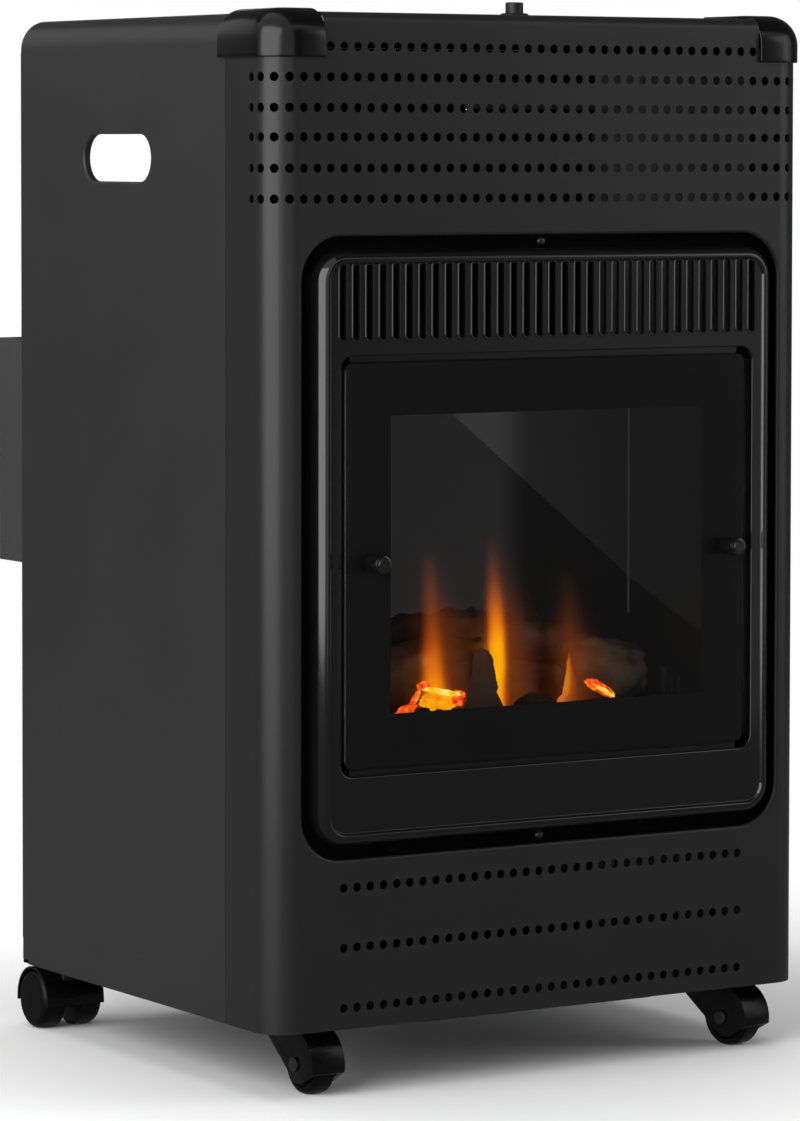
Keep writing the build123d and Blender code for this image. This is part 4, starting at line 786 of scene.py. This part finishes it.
def shield_paint():
    """Heat shield: painted shade, near-black, on its front behind the fire; painted light, grey, towards its
    right end; dark paint at the back.
    """
    made, net, shader = tree("heat_shield_paint")
    lit_share = mapped(net, own_axis(net, "X"), SHIELD_SHADE_END - 0.001, SHIELD_SHADE_END + 0.001)
    front = ramp(net, lit_share, [(0.0, grey(0.0015)), (1.0, (0.28, 0.28, 0.285))])
    normal = add_node(net, "NewGeometry").outputs["Normal"]
    rear = mapped(net, add_node(net, "SeparateXYZ", {"Vector": normal}).outputs["Y"], 0.2, 0.8)
    feed(net, shader, {
        "Base Color": blend(net, rear, front, (0.042, 0.042, 0.043, 1)),
        "Specular IOR Level": 0.05,
        "Roughness": spread(net, noise_node(net, 900.0, 3.0, 0.6), 0.6, 0.8),
    })
    return made


def lit_wall(name, slope_x, slope_y, edge, upper, lower, axis="X"):
    """Sooty wall of the fire with the patch of light that the photo shows: brighter above a slanted edge."""
    made, net, shader = tree(name)
    soot = noise_node(net, 60.0, 4.0, 0.6)
    slant = {0: own_place(net), 1: (slope_x, slope_y, 1.0)}
    lean = add_node(net, "VectorMath", slant, operation="DOT_PRODUCT").outputs["Value"]
    above = mapped(net, lean, edge - 0.0004, edge + 0.0004)
    shift = calculated(net, "ADD", own_axis(net, axis), WALL_SHIFT / 1000)
    tones = []
    for levels in (lower, upper):
        stops = [((place + WALL_SHIFT) / 1000, grey(tone)) for place, tone in levels]
        tones.append(ramp(net, shift, stops))
    feed(net, shader, {
        "Base Color": ramp(net, soot, [(0.3, grey(0.003)), (0.7, (0.006, 0.006, 0.0058))]),
        "Roughness": 0.7,
        "Specular IOR Level": 0.1,
        "Emission Color": blend(net, above, *tones),
        "Emission Strength": 1.0,
    })
    return made


LIGHT_SLOPE, LIGHT_EDGE = 0.801, 0.42126           # slanted edge of the light on the back wall
SIDE_SLOPE, SIDE_EDGE = -0.373, 0.3500             # the same edge where it runs on over the right wall
back_light = lit_wall(
    "lit_back_wall", LIGHT_SLOPE, 0.0, LIGHT_EDGE,
    [(-130, 0.050), (24, 0.050), (47, 0.0190), (126.8, 0.0132)],
    [(-130, 0.0240), (22, 0.0240), (47, 0.0056), (126.8, 0.0056)],
)
side_light = lit_wall(
    "lit_side_wall", 0.0, SIDE_SLOPE, SIDE_EDGE,
    [(-180, 0.0100), (-85, 0.0136)],
    [(-180, 0.0052), (-85, 0.0054)], "Y",
)
dressed("top_panel", powder, 0.45, smooth=12.0)
dressed("control_well", powder, 0.45)
dressed("bottle_guard", guard_paint, 0.45)
# painted shade: the pan under the cabinet is near-black for the shade under it
dressed("base_pan", shade_black, 0.45)
dressed("partition_panel", shield_paint(), 0.3)
dressed("injector_bracket", galvanised, 0.3)
for name in ("firebox_floor", "firebox_roof", "firebox_side_left", "burner_tray"):
    dressed(name, fire_paint, 0.3)
dressed("firebox_back", back_light, 0.3)
dressed("firebox_side_right", side_light, 0.3)
# painted light: a faintly glowing strip draws the light line along the firebox's corner
bar("lit_fold_line", 125.9, 126.6, 87.7, 89.7, 292, 463, lit_fold_edge, 0.2, "fire_sheet")
for name in ("burner_deck", "burner_tube", "mixing_tube"):
    dressed(name, burner_steel, 0.3)
# painted light: the sooted tubes below glow faintly, as if lit by the fire
dressed("ignition_electrode", sooted_fire_lit_tube, 0.3)
for side in ("left", "right"):
    for node, material, width, segments in (
        ("front_fork_" + side, caster_plastic, 0.8, 3), ("rear_body_" + side, caster_plastic, 0.8, 3),
        ("front_wheel_" + side, wheel_plastic, 0.9, 3), ("rear_wheel_" + side + "_a", wheel_plastic, 0.8, 3),
        ("rear_wheel_" + side + "_b", wheel_plastic, 0.8, 3), ("front_axle_" + side, blackened, 0.25, 2),
        ("rear_axle_" + side, blackened, 0.25, 2), ("front_stem_" + side, plated, 0.25, 2),
        ("rear_stem_" + side, plated, 0.25, 2),
    ):
        dressed(node, material, width, segments)
for node, material, width, segments in (
    ("control_knob", knob_plastic, 0.5, 3), ("igniter_body", knob_plastic, 0.4, 3),
    ("igniter_button", knob_plastic, 0.4, 3), ("gas_valve", die_cast, 0.6, 3),
    ("stem_sockets", plated, 0.25, 2), ("valve_spindle", plated, 0.25, 2), ("inlet_nozzle", brass, 0.25, 2),
    ("injector", brass, 0.2, 2),
):
    dressed(node, material, width, segments)
painted("feed_pipe", drawn_tube)
painted("thermocouple", sooted_fire_lit_tube)
painted("pilot_burner", sooted_fire_lit_tube)
painted("glass_seal", rope)


# ---- logs and embers
def charred(name, dark, light):
    """Charred wood: dark bark with ash on its ridges."""
    made, net, shader = tree(name)
    coarse = noise_node(net, 38.0, 6.0, 0.62, (0.45, 1.0, 1.0))
    fine = noise_node(net, 160.0, 5.0, 0.7, (0.35, 1.0, 1.0))
    middle = tuple((a + b) / 2 for a, b in zip(dark, light))
    feed(net, shader, {
        "Base Color": ramp(net, coarse, [(0.34, dark), (0.52, middle), (0.70, light)]),
        "Roughness": 0.92,
        "Specular IOR Level": 0.15,
        "Normal": bump(net, fine, 0.7, 0.0015),
    })
    return made


def log(name, start, end, radius, squash, phase, material, node, taper=0.8):
    """Rough log between two points in millimetres, thicker in its middle, with broken ends."""
    start, end = Vector(start), Vector(end)
    run = (end - start).normalized()
    out = run.cross(Vector((0, 0, 1))).normalized()
    rise = out.cross(run).normalized()
    rings, sides = 64, 56
    verts = []
    seed = Vector((phase * 17.0, phase * 5.0, phase * 11.0))
    for i in range(rings + 1):
        t = i / rings
        thick = taper + (1 - taper) * sin(pi * t)
        knot = noise.noise(Vector((t * 3.1, phase, 0.5)))
        bow = noise.noise(Vector((t * 2.3, 7.0, phase)))
        middle = start.lerp(end, t) + rise * 3.0 * knot + out * 3.0 * bow
        for k in range(sides):
            a = 2 * pi * k / sides
            way = out * cos(a) * squash + rise * sin(a)
            spot = middle + way * radius * thick
            lumps = noise.noise(spot * 0.030 + seed) * 0.22 + noise.noise(spot * 0.085 + seed) * 0.12
            bark = noise.noise(Vector((spot.x * 0.09, spot.y * 0.3, spot.z * 0.3)) + seed) * 0.07
            ragged = run * 5.0 * noise.noise(spot * 0.16 + seed) * (2 * abs(t - 0.5)) ** 6
            verts.append(middle + way * radius * thick * (1 + lumps + bark) + ragged)
    faces = tube_faces(rings + 1, sides)
    for first, tip, sign in ((0, start, -1), (rings * sides, end, 1)):
        inner = len(verts)
        for k in range(sides):
            edge = verts[first + k]
            verts.append(tip.lerp(edge, 0.55) + run * sign * (1.5 + 2.0 * noise.noise(edge * 0.2 + seed)))
        verts.append(tip + run * sign * 1.0)
        for k in range(sides):
            n = (k + 1) % sides
            ring = (first + k, inner + k, inner + n, first + n)
            cap = (inner + k, inner + sides, inner + n)
            faces.append(ring if sign > 0 else tuple(reversed(ring)))
            faces.append(cap if sign > 0 else tuple(reversed(cap)))
    points = [at(*v) for v in verts]
    piece(name, points, faces, material, "logs", 60, (node,))


bark_dark = charred("charred_bark", (0.016, 0.012, 0.010), (0.095, 0.076, 0.062))
bark_ash = charred("ashen_bark", (0.022, 0.017, 0.013), (0.115, 0.092, 0.074))
log("log_back", (-120, 68, 270), (60, 66, 268), 30.0, 0.62, 1.3, bark_dark, "log_rear", 0.78)
log("log_front_left", (-116, 42, 262), (-24, 44, 266), 22.0, 0.75, 2.7, bark_ash, "log_left")
log("log_front_middle", (-8, 40, 256), (36, 42, 252), 15.0, 0.9, 4.1, bark_ash, "log_middle")
log("log_front_right", (44, 48, 262), (102, 42, 258), 24.0, 0.8, 5.9, bark_ash, "log_right")


def ember_paint(name, stops, strength):
    """Glowing coal: dark crust, and a glow whose colour follows its heat."""
    made, net, shader = tree(name)
    crust = noise_node(net, 90.0, 4.0, 0.6)
    heat = noise_node(net, 150.0, 5.0, 0.6)
    feed(net, shader, {
        "Base Color": ramp(net, crust, [(0.35, (0.012, 0.008, 0.006)), (0.65, (0.05, 0.03, 0.02))]),
        "Roughness": 0.9,
        "Specular IOR Level": 0.1,
        "Emission Color": ramp(net, heat, stops),
        "Emission Strength": strength,
        "Normal": bump(net, heat, 0.5, 0.001),
    })
    return made


def coal(name, place, size, phase, material, tilt=0.0):
    """Craggy lump of charcoal: a ball pushed in and out by noise."""
    shape = bmesh.new()
    bmesh.ops.create_icosphere(shape, subdivisions=5, radius=1.0)
    seed = Vector((phase * 3.7, phase * 9.1, phase * 5.3))
    turned_by = Matrix.Rotation(tilt, 4, "Y")
    for vertex in shape.verts:
        n = vertex.co.normalized()
        crag = 1 + 0.30 * noise.noise(n * 1.6 + seed) + 0.16 * noise.noise(n * 4.3 + seed)
        crag += 0.06 * noise.noise(n * 11.0 + seed)
        spot = turned_by @ Vector((n.x * size[0] * crag, n.y * size[1] * crag, n.z * size[2] * crag))
        vertex.co = at(place[0] + spot.x, place[1] + spot.y, place[2] + spot.z)
    piece(name, *read_out(shape), material, "coals", 70, ("ember_coals",))


yellow_heat = ember_paint("yellow_ember", [
    (0.30, (1.0, 0.10, 0.004)), (0.38, (1.0, 0.34, 0.002)), (0.50, (1.0, 0.58, 0.02)),
    (0.64, (1.0, 0.85, 0.30)),
], 1.6)
amber_heat = ember_paint("amber_ember", [
    (0.30, (0.95, 0.16, 0.004)), (0.45, (1.0, 0.30, 0.001)), (0.65, (1.0, 0.48, 0.004)),
], 1.5)
red_heat = ember_paint("red_ember", [
    (0.36, (0.10, 0.0, 0.0)), (0.44, (0.75, 0.03, 0.004)), (0.54, (1.0, 0.13, 0.01)),
    (0.66, (1.0, 0.42, 0.08)),
], 1.5)
spent = ember_paint("spent_coal", [(0.60, (0.0, 0.0, 0.0)), (0.90, (0.03, 0.004, 0.0))], 1.0)
coal("ember_core", (-73, 17, 248.0), (13.0, 4.0, 8.0), 4.0, amber_heat)
coal("ember_crest", (-73.5, 13.0, 256.0), (15.5, 3.0, 1.9), 1.0, yellow_heat, 0.2)
coal("ember_crest_tip", (-86.5, 14.5, 260.5), (4.6, 3.0, 2.8), 2.5, red_heat, -0.4)
coal("ember_end", (-59, 14, 251.0), (4.8, 4.5, 5.0), 5.0, red_heat, 0.5)
coal("ember_hook", (-60.5, 12.0, 252.2), (1.5, 2.0, 4.2), 1.7, yellow_heat, -0.55)
coal("ember_slope", (-93.5, 13, 252.5), (1.7, 2.5, 7.0), 2.0, red_heat, 0.6)
coal("ember_low", (-101, 12, 245.2), (7.5, 4, 3.4), 3.0, red_heat, -0.3)
coal("ember_right", (53.5, 16, 251.0), (13, 4, 3.4), 6.0, red_heat, 0.48)
coal("ember_right_core", (54.5, 13.5, 249.6), (9.5, 3, 1.5), 6.5, yellow_heat, 0.5)
coal("coal_dark_a", (-90, 8, 243.8), (5, 4, 3.4), 7.0, spent)
coal("coal_dark_b", (-79, 7, 242.5), (4, 3, 2.8), 8.0, spent)
coal("coal_dark_c", (4, 20, 243), (13, 8, 7), 9.0, spent)


def flake(name, outline, front, thick, material, node):
    """Charred splinter that stands in front of a flame: a ragged outline, pillowed towards the glass."""
    dense = []
    for (x0, z0), (x1, z1) in zip(outline, outline[1:] + outline[:1]):
        for step in range(6):
            t = step / 6
            wobble = 0.7 * noise.noise(Vector((x0 * 0.4 + t * 2.3, z0 * 0.4, 3.0)))
            dense.append((x0 + (x1 - x0) * t + wobble, z0 + (z1 - z0) * t + wobble))
    mid_x = sum(p[0] for p in dense) / len(dense)
    mid_z = sum(p[1] for p in dense) / len(dense)
    verts = []
    rings = ((1.0, thick), (1.0, 1.6), (0.965, 0.7), (0.86, 0.0), (0.6, -1.6), (0.3, -2.4))
    for scale, depth in rings:
        for x, z in dense:
            px, pz = mid_x + (x - mid_x) * scale, mid_z + (z - mid_z) * scale
            rough = 0.9 * noise.noise(Vector((px * 0.22, pz * 0.22, depth)))
            verts.append(at(px, front + depth + rough * (scale < 0.99), pz))
    count = len(dense)
    faces = tube_faces(len(rings), count)
    faces.append(tuple(reversed(range(count))))
    verts.append(at(mid_x, front - 2.7, mid_z))
    last = (len(rings) - 1) * count
    faces += [(last + k, last + (k + 1) % count, len(verts) - 1) for k in range(count)]
    piece(name, verts, faces, material, "logs", 70, (node,))


SPLINTER = [
    (-37.5, 282.0), (-33.5, 280.5), (-29.8, 275.5), (-28.6, 270.0), (-27.2, 262.0), (-25.0, 255.5),
    (-29.0, 249.5), (-23.5, 246.0), (-19.5, 238.0), (-50.0, 238.0), (-48.5, 249.0), (-46.0, 258.0),
    (-43.0, 266.0), (-42.5, 275.0),
]
splinter_bark = charred("splinter_bark", (0.010, 0.008, 0.006), (0.040, 0.030, 0.023))
bark_net = splinter_bark.node_tree
# painted light: a faint reddish glow on the splinter, stronger towards its top
feed(bark_net, bark_net.nodes["Principled BSDF"], {
    "Emission Color": ramp(bark_net, own_axis(bark_net, "Z"), [
        (0.240, (0.014, 0.008, 0.006)), (0.258, (0.026, 0.012, 0.007)), (0.282, (0.050, 0.018, 0.007)),
    ]),
    "Emission Strength": 1.0,
})
flake("log_splinter", SPLINTER, 17.0, 6.0, splinter_bark, "log_left")


# ---- flames
# light across a tongue, from one edge to the other
SOFT = [(0.0, 0.0), (0.18, 0.16), (0.36, 0.85), (0.5, 1.0), (0.64, 0.85), (0.82, 0.16), (1.0, 0.0)]
HAZE = [(0.0, 0.0), (0.2, 0.10), (0.35, 0.5), (0.5, 1.0), (0.65, 0.5), (0.8, 0.10), (1.0, 0.0)]
LEAF = [(0.0, 0.9), (0.2, 1.0), (0.42, 0.5), (0.7, 0.2), (1.0, 0.0)]
RIM_TINT = (0.85, 0.13, 0.014)


def flame_paint(name, tints, fade, profile, strength):
    """Thin burning gas: light that fades towards the tip and the edges of the tongue, otherwise clear."""
    made, net = bare_tree(name)
    across = add_node(net, "Attribute", attribute_name="across").outputs["Fac"]
    height = add_node(net, "Attribute", attribute_name="height").outputs["Fac"]
    edge = ramp(net, across, [(t, grey(v)) for t, v in profile])
    tip = ramp(net, height, [(t, grey(v)) for t, v in fade])
    rim = tints[0][1] if profile is HAZE else RIM_TINT
    tint = blend(net, edge, (*rim, 1), ramp(net, height, tints))
    glow = add_node(net, "Emission", {"Color": tint, "Strength": strength})
    show_mix(net, calculated(net, "MULTIPLY", edge, tip), add_node(net, "BsdfTransparent"), glow)
    return made


def flame(name, foot, tip, left, right, depth, phase, material):
    """Tongue of flame: a thin closed blade between two edges, each a list of (height share, offset)."""
    rows, around = 48, 28
    foot, tip = Vector(foot), Vector(tip)

    def eased(stops, t):
        for (t0, v0), (t1, v1) in zip(stops, stops[1:]):
            if t <= t1:
                share = (t - t0) / (t1 - t0)
                return v0 + (v1 - v0) * share * share * (3 - 2 * share)
        return stops[-1][1]

    verts, acrosses, heights = [], [], []
    for i in range(rows + 1):
        t = i / rows
        middle = foot.lerp(tip, t)
        sway = 1.2 * noise.noise(Vector((t * 3.0, phase, 2.0)))
        low, high = eased(left, t) + sway, eased(right, t) + sway
        bulge = depth * (0.35 + 0.65 * sin(pi * min(1.0, 0.15 + 0.85 * t)))
        for k in range(around):
            a = 2 * pi * k / around
            share = 0.5 - 0.5 * cos(a)
            x = middle.x + low + (high - low) * share
            d = middle.y + bulge * sin(a) * (1 + 0.15 * noise.noise(Vector((a, t * 4, phase))))
            verts.append(at(x, d, middle.z))
            acrosses.append(share)
            heights.append(t)
    faces = tube_faces(rows + 1, around)
    faces.append(tuple(reversed(range(around))))
    faces.append(tuple(rows * around + k for k in range(around)))
    made = piece(name, verts, faces, material, "coals", 80)
    for label, values in (("across", acrosses), ("height", heights)):
        layer = made.data.attributes.new(label, "FLOAT", "POINT")
        layer.data.foreach_set("value", values)


left_tints = [
    (0.0, (1.0, 0.31, 0.001)), (0.2, (1.0, 0.27, 0.002)), (0.42, (1.0, 0.16, 0.012)), (1.0, (0.7, 0.2, 0.06)),
]
middle_tints = [
    (0.0, (1.0, 0.32, 0.01)), (0.2, (1.0, 0.44, 0.001)), (0.36, (1.0, 0.44, 0.0)), (0.52, (1.0, 0.24, 0.005)),
    (0.7, (0.9, 0.17, 0.015)), (1.0, (0.7, 0.18, 0.03)),
]
leaf_tints = [(0.0, (1.0, 0.22, 0.03)), (0.5, (1.0, 0.33, 0.02)), (1.0, (1.0, 0.22, 0.01))]
haze_tints = [(0.0, (0.34, 0.068, 0.009)), (0.5, (0.34, 0.074, 0.012)), (1.0, (0.26, 0.09, 0.03))]
left_paint = flame_paint("left_flame", left_tints, [
    (0.0, 0.85), (0.15, 0.74), (0.28, 0.42), (0.43, 0.19), (0.6, 0.08), (0.84, 0.025), (1.0, 0.0),
], SOFT, 1.55)
middle_paint = flame_paint("middle_flame", middle_tints, [
    (0.0, 0.8), (0.1, 0.92), (0.38, 0.92), (0.50, 0.56), (0.62, 0.24), (0.74, 0.08), (0.86, 0.025),
    (1.0, 0.0),
], SOFT, 1.6)
leaf_paint = flame_paint("leaf_flame", leaf_tints, [
    (0.0, 0.6), (0.3, 0.72), (0.8, 0.5), (1.0, 0.15),
], LEAF, 1.1)
haze_paint = flame_paint("flame_haze", haze_tints, [
    (0.0, 0.36), (0.3, 0.38), (0.5, 0.24), (0.7, 0.09), (1.0, 0.0),
], HAZE, 1.0)
flame("flame_left", (-75, 17, 244), (-80, 18, 348), [(0, -16), (0.3, -12), (0.6, -9.5), (1, -9)],
      [(0, 16), (0.3, 11.5), (0.6, 9), (1, 8)], 3.0, 1.0, left_paint)
flame("flame_left_haze", (-68, 23, 243), (-76, 23, 352), [(0, -34), (0.4, -26), (1, -16)],
      [(0, 44), (0.4, 36), (1, 18)], 1.2, 2.0, haze_paint)
flame("flame_middle", (-21, 19.5, 240), (-31, 20, 356),
      [(0, -17), (0.14, -16), (0.3, -12.5), (0.5, -10), (1, -7)],
      [(0, 7), (0.3, 9), (0.5, 10), (1, 8)], 2.5, 3.0, middle_paint)
flame("flame_middle_haze", (-10, 23.5, 243), (-24, 23.5, 358), [(0, -34), (0.4, -30), (1, -14)],
      [(0, 36), (0.4, 32), (1, 14)], 1.2, 4.0, haze_paint)
flame("flame_right", (31, 19.5, 242), (31.5, 19.5, 276),
      [(0, -9.5), (0.08, -9), (0.2, -4.8), (0.45, -3.6), (0.7, -1.8), (1, -0.4)],
      [(0, 8), (0.2, 7.5), (0.6, 4.5), (1, 0.6)], 1.8, 5.0, leaf_paint)
flame("flame_right_haze", (35, 23, 243), (31, 23, 330), [(0, -26), (0.4, -24), (1, -14)],
      [(0, 34), (0.4, 28), (1, 14)], 1.2, 6.0, haze_paint)


# ---- light, world and floor
def aim(made, place, toward, front):
    """Put an object at a place, with its front towards a point."""
    look = (Vector(toward) - Vector(place)).normalized()
    made.rotation_euler = look.to_track_quat(front, "Y").to_euler()
    made.location = place


def softbox(name, place, toward, width, height, radiance, mirrored=True):
    """Rectangular lamp that faces a point; its strength follows from how bright its face is."""
    lamp = bpy.data.lights.new(name, "AREA")
    lamp.shape = "RECTANGLE"
    lamp.size, lamp.size_y = width, height
    lamp.energy = radiance * pi * width * height
    made = bpy.data.objects.new(name, lamp)
    scene.collection.objects.link(made)
    aim(made, place, toward, "-Z")
    made.visible_glossy = mirrored


softbox("side_softbox", (-2.15, -0.80, 1.10), (0, 0, 0.45), 2.5, 2.4, 4.4)
softbox("top_softbox", (0.1, 0.45, 3.0), (0, 0.1, 0), 3.0, 3.0, 1.3, False)
softbox("right_softbox", (2.6, -1.6, 1.0), (0, 0, 0.35), 1.6, 2.0, 2.8, False)


def card(name, place, toward, width, height, glow, other=None, axis="X", start=-1.0, end=1.0):
    """Studio card that only reflections see: a grey rectangle facing a point, plain or shading across."""
    paint, net = bare_tree(name + "_paint")
    if other is not None:
        glow = mapped(net, own_axis(net, axis), start, end, glow, other)
    show(net, add_node(net, "Emission", {"Strength": glow}))
    made = plate(name, width, height, paint)
    aim(made, place, toward, "Z")
    made.visible_camera = made.visible_diffuse = made.visible_transmission = made.visible_shadow = False


card("front_card", (0.85, -1.90, 0.60), (0, -0.18, 0.35), 2.1, 2.6, 0.51, 0.06, "X", -0.5, 0.25)
card("high_card", (1.38, -1.50, 1.05), (0, -0.18, 0.60), 1.0, 1.1, 2.2)
card("back_card", (-1.35, 1.55, 0.60), (-0.21, 0, 0.35), 2.8, 2.6, 0.10, 0.55, "Y", 0.05, 0.6)
card("rear_high_card", (0.3, 2.6, 2.4), (0, 0, 0.7), 5.0, 2.4, 0.06)
card("right_card", (1.95, 0.80, 0.60), (0, 0.80, 0.60), 3.0, 2.6, 0.08)
card("ceiling_card", (1.1, 0.1, 1.9), (1.1, 0.1, 0), 2.6, 2.6, 0.08)
card("floor_card", (0, 0, 0.002), (0, 0, 1), 5.0, 5.0, 0.2)


FIRE_COLOUR = (1.0, 0.36, 0.08)
FIRE_POWER, FIRE_RADIUS = 0.02, 0.008
for name, place in (("left", (-74, 24, 275)), ("middle", (-18, 32, 285)), ("right", (50, 22, 280))):
    lamp = bpy.data.lights.new("fire_glow_" + name, "POINT")
    lamp.energy = FIRE_POWER
    lamp.color = FIRE_COLOUR
    lamp.shadow_soft_size = FIRE_RADIUS
    glow_lamp = bpy.data.objects.new("fire_glow_" + name, lamp)
    scene.collection.objects.link(glow_lamp)
    glow_lamp.location = at(*place)


def backdrop_ray(net):
    """1 for rays that see the white studio: from the camera, in a reflection or through glass."""
    path = add_node(net, "LightPath").outputs
    seen = calculated(net, "MAXIMUM", path["Is Camera Ray"], path["Is Glossy Ray"])
    return calculated(net, "MAXIMUM", seen, path["Is Transmission Ray"])


world = bpy.data.worlds.new("studio")
scene.world = world
world.use_nodes = True
sky = world.node_tree
plain = sky.nodes["Background"]
feed(sky, plain, {"Color": (1, 1, 1, 1), "Strength": 0.4})
white = add_node(sky, "Background", {"Color": (1, 1, 1, 1), "Strength": 1.0})
show_mix(sky, backdrop_ray(sky), plain, white, "World Output")


def build_floor():
    """Pale floor, darkened near the heater by a painted shadow, that keeps the object's shadow and turns into
    the white backdrop away from the heater.
    """
    paint, net = bare_tree("pale_floor")
    away = add_node(net, "VectorMath", {0: own_place(net)}, operation="LENGTH").outputs["Value"]
    # painted shadow: the floor's colour darkens towards the heater
    tone = ramp(net, away, [(0.18, grey(0.74)), (0.5, grey(0.97))])
    share = mapped(net, away, 0.35, 0.85, interpolation_type="SMOOTHSTEP")
    matt = add_node(net, "BsdfDiffuse", {"Color": tone})
    glow = add_node(net, "Emission", {"Strength": 1.0})
    show_mix(net, calculated(net, "MULTIPLY", share, backdrop_ray(net)), matt, glow)
    plate("floor", 16.0, 16.0, paint)


build_floor()

scene.view_settings.view_transform = "Standard"
